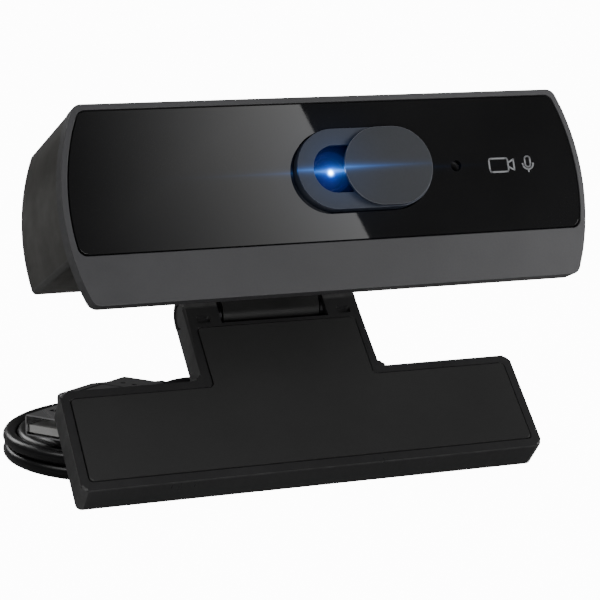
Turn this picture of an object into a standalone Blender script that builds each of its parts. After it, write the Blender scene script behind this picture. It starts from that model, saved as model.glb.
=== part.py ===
"""Webcam with a monitor clip: a wide camera head on a friction-hinged T-shaped clip leg.

Blender 4.5, metres, +Z up. The origin is the middle of the rubber pad on the leg's bar, which is
the face that presses on the back of a screen. +X runs along the head, +Y is away from the person
filmed. The head leans back on the hinge, and the leg leans back further, so the jaw is open.
"""
import math

import bmesh
import bpy
from mathutils import Matrix, Vector, geometry

for old in list(bpy.data.objects):
    bpy.data.objects.remove(old, do_unlink=True)

# ---- driving sizes -----------------------------------------------------------------------------
GAP = 0.0003                    # clearance between separate pieces

HEAD_WIDTH = 0.1100             # across the middle of the bowed ends
HEAD_HEIGHT = 0.0390            # of the front bezel, lip included
END_BOW = 0.0041                # how far an end bulges past its corners
HEAD_DEPTH = 0.0375             # bezel front to housing back
HEAD_LEAN = math.radians(20.7)  # of the bezel, back from upright
BEZEL_THICKNESS = 0.0045
BEZEL_CORNER = 0.0022
LIP_HEIGHT = 0.0094             # bezel below the housing, the clip's front lip
HOUSING_WALL = 0.0018
HOUSING_INNER_CORNER = 0.0008
HOUSING_INSET = 0.0003          # housing set in from the bezel's outline
HOUSING_CORNER = 0.0011
HOUSING_EDGE = 0.0008           # rounding of the housing's back edge

PANEL_SIDE_MARGIN = 0.0015      # bezel left showing beside and above the glossy panel
PANEL_BOTTOM_MARGIN = 0.0099
PANEL_THICKNESS = 0.0012
PANEL_SET_BACK = 0.0001
TAPE_THICKNESS = 0.0003
TAPE_MARGIN = 0.0010
TAPE_WIDTH = 0.0030

ISLAND_STRETCH = 0.0125         # between the centres of its round ends
ISLAND_RISE = 0.0021            # proud of the bezel's face
ISLAND_WALL = 0.0012
ISLAND_FLANGE = 0.0020
WINDOW_RADIUS = 0.0048          # opening in front of the lens
WINDOW_CUT = 0.0034             # the opening's straight side, right of the lens axis
WINDOW_GLASS_LAP = 0.0010
WINDOW_GLASS_THICKNESS = 0.0008
WINDOW_GLASS_ROOM = 0.0011      # from the glass's edge to the island's inner wall

COVER_STRETCH = 0.0029
COVER_THICKNESS = 0.0009
COVER_MARGIN = 0.0002           # cover set in from the island, above and below
COVER_END_MARGIN = 0.0005       # and at the ends of its travel
COVER_STEM_OFFSET = 0.0052      # stem's place, right of the cover's middle
COVER_STEM = (0.0010, 0.0011)   # half width and half height of the stem through the slot
COVER_CLIP = (0.0017, 0.0032)
COVER_CLIP_THICKNESS = 0.0008

LENS_BARREL_RADIUS = 0.0042
LENS_BARREL_FRONT = 0.0007      # depth behind the bezel's face
LENS_BARREL_LENGTH = 0.0088
LENS_RADIUS = 0.0028
LENS_HOLDER = 0.0130
BOARD_FRONT = 0.0140
BOARD_THICKNESS = 0.0012
BOARD_WIDTH = 0.0660
BOARD_MARGIN = 0.0101           # head height above the lip that the board leaves free
MICROPHONE_OFFSET = 0.0268
MICROPHONE_HOLE = 0.00115

SCREW_SHANK = 0.0010            # radii
SCREW_HEAD = 0.0019
SCREW_HEAD_HEIGHT = 0.0008
SCREW_BOSS = 0.0026

ARM_REACH = 0.0112              # hinge axis behind the housing
ARM_HALF_WIDTH = 0.0110
ARM_HEIGHT = 0.0094             # above the housing's underside
FOLD_GAP = 0.0011               # folded leg to the housing's underside
FOLD_LIP_GAP = 0.0015           # folded leg's foot to the lip
LIP_PAD_THICKNESS = 0.0005
LIP_PAD_MARGIN = (0.0100, 0.0018)       # at its ends, and above and below
WASHER_THICKNESS = 0.0006
PIN_RADIUS = 0.0015
PIN_CAP_THICKNESS = 0.0010
PIN_CAP_RADIUS = 0.0024

LEG_LEAN = math.radians(47.1)   # of the leg, back from upright
LEG_THICKNESS = 0.0078
BAR_LENGTH = 0.1013
BAR_WIDTH = 0.0236
NECK_WIDTH = 0.0399
LEG_CORNER = 0.0014
LEG_WALL = 0.0018
LEG_FRONT_WALL = 0.0016
PAD_MARGIN = 0.0021
PAD_TOP = 0.0060                # pad's end, short of the hinge axis
PAD_THICKNESS = 0.0007
PAD_PROUD = 0.0002
BACK_COVER_THICKNESS = 0.0020
BACK_COVER_MARGIN = 0.0010
BACK_COVER_TOP = -0.0080        # its end, below the hinge axis
KNUCKLE_POCKET = (0.0029, 0.0017, 0.0010)
KNUCKLE_POCKET_OFFSET = (0.0161, 0.0037)

CORD_RADIUS = 0.0015
CORD_EXIT_OFFSET = 0.0080       # right of the middle of the housing's back
RELIEF_LENGTH = 0.0165          # past the housing
RELIEF_NECK = 0.0032            # its radius through the housing's wall
COIL_CENTRE = (-0.0290, 0.0350)
COIL_RADIUS = 0.0180            # to the middle of the turns
COIL_ACROSS = 6                 # turns side by side
COIL_LAYERS = 2
TIE_THICKNESS = 0.0005
TIE_WIDTH = 0.0040
TIE_ANGLE = math.radians(-10)

PLUG_TIP = (-0.0500, 0.0215)
PLUG_HEADING = math.atan2(0.6, 0.8)     # from the plug's mouth to its cord
SHELL_SIZE = (0.0120, 0.0045, 0.0120)   # width, thickness, length
SHELL_WALL = 0.0003
OVERMOLD_WIDTH = 0.0160
OVERMOLD_NECK = 0.0120
OVERMOLD_LENGTH = 0.0220
OVERMOLD_THICKNESS = 0.0080
BOOT_LENGTH = 0.0070
BOOT_RADIUS = 0.0031

# ---- sizes worked out from them ----------------------------------------------------------------
BOW_RADIUS = ((HEAD_HEIGHT / 2) ** 2 + END_BOW ** 2) / (2 * END_BOW)
BOW_CENTRE = HEAD_WIDTH / 2 - BOW_RADIUS
HALF_LEG = LEG_THICKNESS / 2
HINGE_DEPTH = HEAD_DEPTH + ARM_REACH
HINGE_HEIGHT = LIP_HEIGHT - FOLD_GAP - HALF_LEG
LEG_LENGTH = HINGE_DEPTH - BEZEL_THICKNESS - FOLD_LIP_GAP
PANEL_TOP = HEAD_HEIGHT - PANEL_SIDE_MARGIN
LENS_AXIS_HEIGHT = (PANEL_BOTTOM_MARGIN + PANEL_TOP) / 2
ISLAND_RADIUS = WINDOW_RADIUS + WINDOW_GLASS_LAP + WINDOW_GLASS_ROOM + ISLAND_WALL
COVER_RADIUS = ISLAND_RADIUS - COVER_MARGIN
ARM_TOP = LIP_HEIGHT + ARM_HEIGHT
CORD_EXIT = (CORD_EXIT_OFFSET, LENS_AXIS_HEIGHT)
PAD_FACE = -HALF_LEG - PAD_PROUD
PAD_MIDDLE = -LEG_LENGTH + BAR_WIDTH / 2
LEG_TURN = Matrix.Rotation(-LEG_LEAN, 4, "X")
HINGE = -(LEG_TURN @ Vector((0, PAD_FACE, PAD_MIDDLE)))
FLOOR = HINGE.z + (LEG_TURN @ Vector((0, HALF_LEG, -LEG_LENGTH))).z
PANEL_BACK = PANEL_SET_BACK + PANEL_THICKNESS
TAPE_FRONT = PANEL_BACK + GAP
POCKET_DEPTH = TAPE_FRONT + TAPE_THICKNESS + GAP
SCREW_SEAT = POCKET_DEPTH + 0.0013
HOUSING_FRONT = BEZEL_THICKNESS + GAP
HOUSING_INNER_BACK = HEAD_DEPTH - HOUSING_WALL
BOARD_BACK = BOARD_FRONT + BOARD_THICKNESS
BOARD_HEIGHT = HEAD_HEIGHT - LIP_HEIGHT - BOARD_MARGIN
PILOT = SCREW_SHANK + GAP
COUNTERBORE = SCREW_HEAD + GAP
SLOT_HALF_WIDTH = ARM_HALF_WIDTH + WASHER_THICKNESS + 2 * GAP
SLOT_FLOOR = -HALF_LEG - 0.0010
COVER_HALF = COVER_RADIUS + COVER_STRETCH / 2
COVER_REST = ISLAND_STRETCH + ISLAND_RADIUS - COVER_END_MARGIN - COVER_HALF
COVER_TRAVEL = ISLAND_STRETCH + 2 * (ISLAND_RADIUS - COVER_END_MARGIN - COVER_HALF)
COVER_STEM_REST = COVER_REST + COVER_STEM_OFFSET
COVER_BACK = -ISLAND_RISE - GAP
LEDGE = HALF_LEG - BACK_COVER_THICKNESS - GAP
CAVITY_FRONT = -HALF_LEG + PAD_THICKNESS - PAD_PROUD + GAP + LEG_FRONT_WALL
COIL_BASE = FLOOR + TIE_THICKNESS + GAP
COIL_HALF_SPAN = COIL_ACROSS * CORD_RADIUS
COIL_HEIGHT = COIL_LAYERS * 2 * CORD_RADIUS
PLUG_HEIGHT = COIL_BASE + COIL_HEIGHT + GAP + OVERMOLD_THICKNESS / 2
RELIEF_TIP = HEAD_DEPTH + RELIEF_LENGTH

HOUSING_SCREWS = [(side * (HEAD_WIDTH / 2 - 0.0090), height) for side in (-1, 1)
                  for height in (LIP_HEIGHT + 0.0051, HEAD_HEIGHT - 0.0060)]
BOARD_SCREWS = {"left": (-0.0290, LENS_AXIS_HEIGHT + 0.0068),
                "right": (0.0295, LENS_AXIS_HEIGHT - 0.0072)}
ARM_SCREWS = {name: (side * ARM_HALF_WIDTH * 0.6, ARM_TOP - 0.0034)
              for name, side in (("left", -1), ("right", 1))}
BAR_SCREW_HEIGHT = -LEG_LENGTH + BAR_WIDTH / 2
LEG_SCREWS = [(side * across, height)
              for across, height in ((BAR_LENGTH / 2 - 0.0057, BAR_SCREW_HEIGHT),
                                     (0.0150, BAR_SCREW_HEIGHT),
                                     (NECK_WIDTH / 2 - 0.0060, -0.0129))
              for side in (-1, 1)]


# ---- materials ---------------------------------------------------------------------------------
def material(name, colour, roughness, metallic=0.0):
    made = bpy.data.materials.new(name)
    made.use_nodes = True
    shader = made.node_tree.nodes["Principled BSDF"]
    shader.inputs["Base Color"].default_value = (*colour, 1.0)
    shader.inputs["Roughness"].default_value = roughness
    shader.inputs["Metallic"].default_value = metallic
    return made


FINISHES = {
    "bezel_plastic": ((0.065, 0.065, 0.068), 0.45),
    "housing_plastic": ((0.070, 0.068, 0.064), 0.40),
    "panel_acrylic": ((0.006, 0.006, 0.007), 0.08),
    "island_plastic": ((0.050, 0.055, 0.065), 0.35),
    "cover_plastic": ((0.045, 0.048, 0.052), 0.40),
    "lens_glass": ((0.02, 0.08, 0.35), 0.05),
    "black_plastic": ((0.012, 0.012, 0.012), 0.45),
    "leg_plastic": ((0.016, 0.016, 0.016), 0.42),
    "pad_rubber": ((0.014, 0.014, 0.014), 0.75),
    "tape": ((0.02, 0.02, 0.02), 0.8),
    "board": ((0.02, 0.12, 0.05), 0.5),
    "chip": ((0.02, 0.02, 0.02), 0.5),
    "steel": ((0.55, 0.55, 0.56), 0.3, 1.0),
    "black_steel": ((0.05, 0.05, 0.05), 0.35, 1.0),
    "nickel": ((0.75, 0.75, 0.76), 0.2, 1.0),
    "cord_rubber": ((0.015, 0.015, 0.015), 0.5),
    "plug_plastic": ((0.12, 0.12, 0.12), 0.5),
    "white_plastic": ((0.8, 0.8, 0.8), 0.5),
    "led": ((0.1, 0.3, 1.0), 0.3),
}
MATERIALS = {}
for finish_name, finish in FINISHES.items():
    MATERIALS[finish_name] = material(finish_name, *finish)


# ---- frames that carry the bodies --------------------------------------------------------------
def frame(name, location, rotation=(0, 0, 0), parent=None):
    empty = bpy.data.objects.new(name, None)
    empty.empty_display_size = 0.01
    empty.location = location
    empty.rotation_euler = rotation
    empty.parent = parent
    bpy.context.collection.objects.link(empty)
    return empty


LEG = frame("leg_on_hinge_axis", HINGE, (-LEG_LEAN, 0, 0))
HEAD = frame("head_on_hinge_axis", HINGE, (-HEAD_LEAN, 0, 0))
COVER = frame("cover_slide", (0, 0, 0), parent=HEAD)
TABLE = frame("table", (0, 0, FLOOR))
PLUG = frame("plug", (*PLUG_TIP, PLUG_HEIGHT), (0, 0, PLUG_HEADING - math.pi / 2))
# Head pieces are modelled across, behind and above the middle of the bezel's bottom front edge.
OFFSETS = {HEAD: (0, -HINGE_DEPTH, -HINGE_HEIGHT), COVER: (0, -HINGE_DEPTH, -HINGE_HEIGHT)}


def place(name, data, parent, finish=None):
    made = bpy.data.objects.new(name, data)
    made.parent = parent
    made.location = OFFSETS.get(parent, (0, 0, 0))
    bpy.context.collection.objects.link(made)
    if finish:
        data.materials.append(MATERIALS[finish])
    return made


# ---- outlines, as lists of (across, up) --------------------------------------------------------
def arc(centre, radius, start, end, segments):
    step = (end - start) / segments
    return [(centre[0] + radius * math.cos(start + i * step),
             centre[1] + radius * math.sin(start + i * step)) for i in range(segments + 1)]


def circle(centre, radius, segments=20):
    return arc(centre, radius, 0, 2 * math.pi, segments)[:-1]


def box(low, high):
    return [low, (high[0], low[1]), high, (low[0], high[1])]


def around(centre, half_width, half_height):
    return box((centre[0] - half_width, centre[1] - half_height),
               (centre[0] + half_width, centre[1] + half_height))


def pill(left, right, height, radius, segments=14):
    quarter = math.pi / 2
    return (arc((right, height), radius, -quarter, quarter, segments)
            + arc((left, height), radius, quarter, 3 * quarter, segments))


def rounded(corners, segments=4):
    """Round each (x, z, radius) corner of a polygon with an arc."""
    outline = []
    for index, (x, z, radius) in enumerate(corners):
        here = Vector((x, z))
        if radius == 0:
            outline.append((x, z))
            continue
        before = (Vector(corners[index - 1][:2]) - here).normalized()
        after = (Vector(corners[(index + 1) % len(corners)][:2]) - here).normalized()
        half_angle = before.angle(after) / 2
        middle = here + (before + after).normalized() * radius / math.sin(half_angle)
        start = here + before * radius / math.tan(half_angle) - middle
        end = here + after * radius / math.tan(half_angle) - middle
        turn = start.angle_signed(end)
        for step in range(segments + 1):
            spun = start.copy()
            spun.rotate(Matrix.Rotation(-turn * step / segments, 2))
            outline.append(tuple(middle + spun))
    return outline


def rounded_box(centre, half_width, half_height, radius, segments=3):
    corners = around(centre, half_width, half_height)
    return rounded([(x, z, radius) for x, z in corners], segments)


def end_of_head(height, inset):
    return BOW_CENTRE + math.sqrt((BOW_RADIUS - inset) ** 2 - (height - HEAD_HEIGHT / 2) ** 2)


def bowed(bottom, top, inset, corner, segments=10):
    """The head's outline: straight top and bottom, bowed ends."""
    right = []
    for step in range(segments + 1):
        height = bottom + (top - bottom) * step / segments
        radius = corner if step in (0, segments) else 0
        right.append((end_of_head(height, inset), height, radius))
    left = [(-x, z, radius) for x, z, radius in reversed(right)]
    return rounded(right + left)


def tee(inset, top, corner):
    """The leg's outline, up to a height called top, set in all round but there."""
    bar = BAR_LENGTH / 2 - inset
    neck = NECK_WIDTH / 2 - inset
    foot = -LEG_LENGTH + inset
    shoulder = -LEG_LENGTH + BAR_WIDTH - inset
    right = [(bar, foot, corner), (bar, shoulder, corner), (neck, shoulder, corner),
             (neck, top, corner if inset else 0)]
    return rounded(right + [(-x, z, radius) for x, z, radius in reversed(right)])


# ---- solids ------------------------------------------------------------------------------------
def finish_mesh(work, name):
    bmesh.ops.recalc_face_normals(work, faces=work.faces)
    data = bpy.data.meshes.new(name)
    work.to_mesh(data)
    work.free()
    return data


def prism_mesh(name, outlines, low, high, front_edge=0.0, back_edge=0.0, upright=False):
    """Extrude outlines along Y, or along Z when upright. An edge size rounds that end's rim."""
    work = bmesh.new()
    for outline in outlines:
        rims = []
        for level in (low, high):
            points = [(x, z, level) if upright else (x, level, z) for x, z in outline]
            rims.append([work.verts.new(point) for point in points])
        work.faces.new(rims[0])
        work.faces.new(rims[1])
        for index in range(len(outline)):
            following = (index + 1) % len(outline)
            work.faces.new((rims[0][index], rims[0][following], rims[1][following], rims[1][index]))
        for rim, size in zip(rims, (front_edge, back_edge)):
            if size:
                edges = [work.edges.get((rim[i - 1], rim[i])) for i in range(len(rim))]
                bmesh.ops.bevel(work, geom=edges, offset=size, segments=2, profile=0.5,
                                affect="EDGES")
    return finish_mesh(work, name)


def prism(name, outline, low, high, parent, finish, **edges):
    return place(name, prism_mesh(name, [outline], low, high, **edges), parent, finish)


def turned_mesh(name, profiles, axis, segments, centre, hollow):
    """Spin (radius, along) profiles about a line along the named axis through centre."""
    work = bmesh.new()
    for profile in profiles:
        rings = []
        for radius, along in profile:
            ring = []
            for x, z in ([(0, 0)] if radius == 0 else circle((0, 0), radius, segments)):
                point = {"X": (along, x, z), "Y": (x, along, z), "Z": (x, z, along)}[axis]
                ring.append(work.verts.new(Vector(point) + Vector(centre)))
            rings.append(ring)
        pairs = list(zip(rings, rings[1:] + rings[:1])) if hollow else list(zip(rings, rings[1:]))
        for first, second in pairs:
            for index in range(segments):
                following = (index + 1) % segments
                if len(first) == 1:
                    corners = (first[0], second[index], second[following])
                elif len(second) == 1:
                    corners = (first[index], first[following], second[0])
                else:
                    corners = (first[index], first[following], second[following], second[index])
                work.faces.new(corners)
        for ring in () if hollow else (rings[0], rings[-1]):
            if len(ring) > 1:
                work.faces.new(ring)
    return finish_mesh(work, name)


def turned(name, profile, parent, finish, axis="Y", segments=24, centre=(0, 0, 0), hollow=False):
    data = turned_mesh(name, [profile], axis, segments, centre, hollow)
    made = place(name, data, parent, finish)
    data.shade_smooth()
    data.set_sharp_from_angle(angle=math.radians(35))
    return made


def boolean(target, tool, operation):
    tool.hide_render = True
    tool.display_type = "WIRE"
    step = target.modifiers.new(tool.name, "BOOLEAN")
    step.object = tool
    step.operation = operation
    step.solver = "EXACT"


def cut(target, name, outlines, low, high, **options):
    tool = place(f"{target.name}_{name}_cutter", prism_mesh(name, outlines, low, high, **options),
                 target.parent)
    boolean(target, tool, "DIFFERENCE")


def add(target, name, outlines, low, high, **options):
    tool = place(f"{target.name}_{name}_guide", prism_mesh(name, outlines, low, high, **options),
                 target.parent)
    boolean(target, tool, "UNION")


def bore(target, name, profiles, axis="X", segments=20, centre=(0, 0, 0)):
    data = turned_mesh(name, profiles, axis, segments, centre, False)
    boolean(target, place(f"{target.name}_{name}_cutter", data, target.parent), "DIFFERENCE")


def tube(name, points, parent, finish):
    """A round cord along points, as a curve with filled ends."""
    data = bpy.data.curves.new(name, "CURVE")
    data.dimensions = "3D"
    spline = data.splines.new("POLY")
    spline.points.add(len(points) - 1)
    for spline_point, point in zip(spline.points, points):
        spline_point.co = (*point, 1.0)
    data.bevel_depth = CORD_RADIUS
    data.bevel_resolution = 2
    data.use_fill_caps = True
    return place(name, data, parent, finish)


def smooth_curve(points, steps=12):
    """Read a smooth curve through points, with straight ends, at short steps."""
    points = [Vector(point) for point in points]
    ends = [points[0] * 2 - points[1]] + points + [points[-1] * 2 - points[-2]]
    curve = []
    for first, start, end, last in zip(ends, ends[1:], ends[2:], ends[3:]):
        start_handle = start + (end - first) / 6
        end_handle = end - (last - start) / 6
        curve += geometry.interpolate_bezier(start, start_handle, end_handle, end, steps)[:-1]
    return curve + [points[-1]]


def even_steps(curve, length):
    """Thin a fine curve to points about length apart, keeping the direction of both ends."""
    kept = curve[:2]
    for point in curve[2:-2]:
        if (point - kept[-1]).length >= length and (point - curve[-2]).length >= length / 2:
            kept.append(point)
    return kept + curve[-2:]


# ---- screws ------------------------------------------------------------------------------------
def screw(name, spot, seat, way, length, parent, finish="steel"):
    """A cross-head screw along Y: its head sits on seat, and its shank runs the given way."""
    across, up = spot
    under = seat - way * GAP
    top = under - way * SCREW_HEAD_HEIGHT
    tip = under + way * length
    profile = [(0, top), (SCREW_HEAD, top), (SCREW_HEAD, under), (SCREW_SHANK, under),
               (SCREW_SHANK, tip - way * 0.0010), (0, tip)]
    made = turned(name, profile, parent, finish, segments=16, centre=(across, 0, up))
    blade, reach = 0.00025, 0.0012
    floor = top + way * 0.0005
    above = top - way * 0.0010
    levels = sorted((floor, above))
    cross = rounded([(x, z, 0) for x, z in (
        (reach, -blade), (reach, blade), (blade, blade), (blade, reach), (-blade, reach),
        (-blade, blade), (-reach, blade), (-reach, -blade), (-blade, -blade),
        (-blade, -reach), (blade, -reach), (blade, -blade))])
    cut(made, "cross", [[(across + x, up + z) for x, z in cross]], *levels)
    return made


# ---- head --------------------------------------------------------------------------------------
def island_outline(grow):
    return pill(0, ISLAND_STRETCH, LENS_AXIS_HEIGHT, ISLAND_RADIUS + grow)


def panel_outline(grow, corner=0.0020):
    return bowed(PANEL_BOTTOM_MARGIN - grow, PANEL_TOP + grow, PANEL_SIDE_MARGIN - grow, corner)


def window_outline(grow, segments=12):
    """Round on the left about the lens axis, and square on the right."""
    radius, right = WINDOW_RADIUS + grow, WINDOW_CUT + grow
    left = arc((0, LENS_AXIS_HEIGHT), radius, math.pi / 2, 3 * math.pi / 2, segments)
    return left + [(right, LENS_AXIS_HEIGHT - radius), (right, LENS_AXIS_HEIGHT + radius)]


def make_bezel():
    bezel = prism("front_bezel", bowed(0, HEAD_HEIGHT, 0, BEZEL_CORNER), 0, BEZEL_THICKNESS,
                  HEAD, "bezel_plastic", front_edge=0.0006)
    inner = HOUSING_INSET + HOUSING_WALL + GAP
    ring = (LIP_HEIGHT + HOUSING_WALL + GAP, HEAD_HEIGHT - inner, inner, 0.0010)
    ring_wall, ring_depth = 0.0012, 0.0020
    buried = BEZEL_THICKNESS - 0.0005
    add(bezel, "ring", [bowed(*ring)], buried, BEZEL_THICKNESS + ring_depth)
    hollow = bowed(ring[0] + ring_wall, ring[1] - ring_wall, inner + ring_wall, 0.0006)
    cut(bezel, "ring_middle", [hollow], BEZEL_THICKNESS, BEZEL_THICKNESS + 2 * ring_depth)
    cut(bezel, "flange_room", [island_outline(ISLAND_FLANGE + GAP)], BEZEL_THICKNESS,
        BEZEL_THICKNESS + 2 * ring_depth)
    bosses = [circle(spot, 0.0025) for spot in BOARD_SCREWS.values()]
    add(bezel, "bosses", bosses, buried, BOARD_FRONT - GAP)
    pilots = [circle(spot, PILOT, 12) for spot in BOARD_SCREWS.values()]
    cut(bezel, "pilots", pilots, BEZEL_THICKNESS + 0.0010, BOARD_FRONT + GAP)
    cut(bezel, "pocket", [panel_outline(GAP)], -0.0010, POCKET_DEPTH)
    through = [island_outline(GAP), circle((MICROPHONE_OFFSET, LENS_AXIS_HEIGHT), MICROPHONE_HOLE)]
    through += [circle(spot, PILOT, 12) for spot in HOUSING_SCREWS]
    cut(bezel, "holes", through, 0, BEZEL_THICKNESS + 0.0010)
    heads = [circle(spot, COUNTERBORE) for spot in HOUSING_SCREWS]
    cut(bezel, "counterbores", heads, 0, SCREW_SEAT)


def make_lip_pad():
    ends, edges = LIP_PAD_MARGIN
    middle = (0, LIP_HEIGHT / 2)
    outline = rounded_box(middle, HEAD_WIDTH / 2 - ends, LIP_HEIGHT / 2 - edges, 0.0010)
    prism("lip_pad", outline, HOUSING_FRONT, HOUSING_FRONT + LIP_PAD_THICKNESS, HEAD, "pad_rubber")


def make_panel():
    panel = prism("front_panel", panel_outline(0), PANEL_SET_BACK, PANEL_BACK, HEAD,
                  "panel_acrylic", front_edge=0.00015)
    openings = [island_outline(GAP), circle((MICROPHONE_OFFSET, LENS_AXIS_HEIGHT), MICROPHONE_HOLE)]
    cut(panel, "holes", openings, -0.0010, POCKET_DEPTH)
    tape = prism("panel_tape", panel_outline(-TAPE_MARGIN, 0.0012), TAPE_FRONT,
                 TAPE_FRONT + TAPE_THICKNESS, HEAD, "tape")
    cut(tape, "middle", [panel_outline(-TAPE_MARGIN - TAPE_WIDTH, 0.0008)], 0, BEZEL_THICKNESS)


def make_island():
    back = HOUSING_FRONT
    flange_back = back + 0.0012
    island = prism("lens_island", island_outline(0), -ISLAND_RISE, flange_back, HEAD,
                   "island_plastic", front_edge=0.0003)
    add(island, "flange", [island_outline(ISLAND_FLANGE)], back, flange_back)
    face_back = -ISLAND_RISE + ISLAND_WALL
    cut(island, "inside", [island_outline(-ISLAND_WALL)], face_back, flange_back + GAP)
    cut(island, "window", [window_outline(0)], -2 * ISLAND_RISE, 0)
    stem_width, stem_height = COVER_STEM
    left = COVER_STEM_REST - COVER_TRAVEL - stem_width - GAP
    right = COVER_STEM_REST + stem_width + GAP
    low = LENS_AXIS_HEIGHT - stem_height - GAP
    high = LENS_AXIS_HEIGHT + stem_height + GAP
    cut(island, "slot", [box((left, low), (right, high))], -2 * ISLAND_RISE, 0)
    glass_front = face_back + GAP
    prism("lens_window", window_outline(WINDOW_GLASS_LAP), glass_front,
          glass_front + WINDOW_GLASS_THICKNESS, HEAD, "lens_glass")


def make_cover():
    """The privacy cover slides left over the window; its stem runs in the island's slot."""
    cover = prism("privacy_cover",
                  pill(COVER_REST - COVER_STRETCH / 2, COVER_REST + COVER_STRETCH / 2,
                       LENS_AXIS_HEIGHT, COVER_RADIUS),
                  COVER_BACK - COVER_THICKNESS, COVER_BACK, COVER, "cover_plastic",
                  front_edge=0.0003)
    spot = (COVER_STEM_REST, LENS_AXIS_HEIGHT)
    clip_front = -ISLAND_RISE + ISLAND_WALL + GAP
    add(cover, "stem", [around(spot, *COVER_STEM)], COVER_BACK - 0.0004, clip_front)
    peg = 0.0006
    add(cover, "peg", [circle(spot, peg, 12)], clip_front - 0.0002,
        clip_front + COVER_CLIP_THICKNESS + 2 * GAP)
    clip = prism("cover_clip", around(spot, *COVER_CLIP), clip_front + GAP,
                 clip_front + GAP + COVER_CLIP_THICKNESS, COVER, "black_plastic")
    cut(clip, "hole", [circle(spot, peg + GAP, 12)], -ISLAND_RISE, BEZEL_THICKNESS)


def make_lens():
    centre = (0, 0, LENS_AXIS_HEIGHT)
    front = LENS_BARREL_FRONT
    back = front + LENS_BARREL_LENGTH
    seat = LENS_RADIUS + GAP
    inner = LENS_RADIUS - 0.0004
    ledge = front + 0.0036
    turned("lens_barrel",
           [(LENS_BARREL_RADIUS, front), (LENS_BARREL_RADIUS, back), (inner, back),
            (inner, ledge), (seat, ledge), (seat, front + 0.0013), (seat + 0.0004, front + 0.0006),
            (seat + 0.0006, front)],
           HEAD, "black_plastic", segments=28, centre=centre, hollow=True)
    rim = ledge - GAP
    turned("front_lens",
           [(0, front + 0.0005), (LENS_RADIUS * 0.40, front + 0.0006),
            (LENS_RADIUS * 0.75, front + 0.0010), (LENS_RADIUS, front + 0.0017),
            (LENS_RADIUS, rim), (0, rim)],
           HEAD, "lens_glass", segments=20, centre=centre)
    middle = front + LENS_BARREL_LENGTH * 0.6
    turned("rear_lens",
           [(0, middle - 0.0006), (inner - GAP, middle), (inner - GAP, middle + 0.0012),
            (0, middle + 0.0018)],
           HEAD, "lens_glass", segments=20, centre=centre)
    spot = (0, LENS_AXIS_HEIGHT)
    holder_front = HOUSING_FRONT + 0.0012 + 0.0005
    holder = prism("lens_holder", rounded_box(spot, LENS_HOLDER / 2, LENS_HOLDER / 2, 0.0012),
                   holder_front, BOARD_FRONT - GAP, HEAD, "black_plastic")
    cut(holder, "bore", [circle(spot, LENS_BARREL_RADIUS + GAP, 28)], 0, back + 0.0006)
    cavity = 0.0040
    cut(holder, "cavity", [around(spot, cavity, cavity)], back + GAP, BOARD_FRONT + GAP)
    filter_front = back + 0.0012
    prism("infrared_filter", around(spot, cavity - GAP, cavity - GAP), filter_front,
          filter_front + 0.0005, HEAD, "lens_glass")
    prism("image_sensor", around(spot, 0.0032, 0.0032), BOARD_FRONT - GAP - 0.0010,
          BOARD_FRONT - GAP, HEAD, "chip")


def make_board():
    middle = (0, LENS_AXIS_HEIGHT)
    board = prism("main_board", rounded_box(middle, BOARD_WIDTH / 2, BOARD_HEIGHT / 2, 0.0015),
                  BOARD_FRONT, BOARD_BACK, HEAD, "board")
    holes = [circle(spot, PILOT, 12) for spot in BOARD_SCREWS.values()]
    cut(board, "holes", holes, BOARD_FRONT - GAP, BOARD_BACK + GAP)
    for side, spot in BOARD_SCREWS.items():
        screw(f"board_screw_{side}", spot, BOARD_BACK, -1, 0.0065, HEAD)
    behind = BOARD_BACK + GAP
    prism("processor", around((-0.0150, LENS_AXIS_HEIGHT), 0.0040, 0.0040), behind,
          behind + 0.0012, HEAD, "chip")
    socket_back = behind + 0.0040
    prism("cable_socket", around(CORD_EXIT, 0.0045, 0.0028), behind, socket_back, HEAD,
          "white_plastic")
    ahead = BOARD_FRONT - GAP
    prism("status_led", around((-0.0125, LENS_AXIS_HEIGHT), 0.0008, 0.0005), ahead - 0.0008,
          ahead, HEAD, "led")
    port = (MICROPHONE_OFFSET, 0, LENS_AXIS_HEIGHT)
    can = 0.0013
    turned("microphone", [(0, ahead - can), (0.0020, ahead - can), (0.0020, ahead), (0, ahead)],
           HEAD, "steel", segments=16, centre=port)
    outer, inner = 0.0026, MICROPHONE_HOLE
    gasket = ((outer, HOUSING_FRONT), (outer, ahead - can - GAP), (inner, ahead - can - GAP),
              (inner, HOUSING_FRONT))
    turned("microphone_gasket", gasket, HEAD, "pad_rubber", segments=16, centre=port, hollow=True)
    start, end = socket_back + GAP, HOUSING_INNER_BACK - 0.0015 - GAP
    bow = 0.07 * (end - start)
    route = [(CORD_EXIT[0], start, CORD_EXIT[1]),
             (CORD_EXIT[0] - bow, (start + end) / 2, CORD_EXIT[1] + bow),
             (CORD_EXIT[0], end, CORD_EXIT[1])]
    tube("inner_lead", even_steps(smooth_curve(route), 0.003), HEAD, "cord_rubber")


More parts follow.
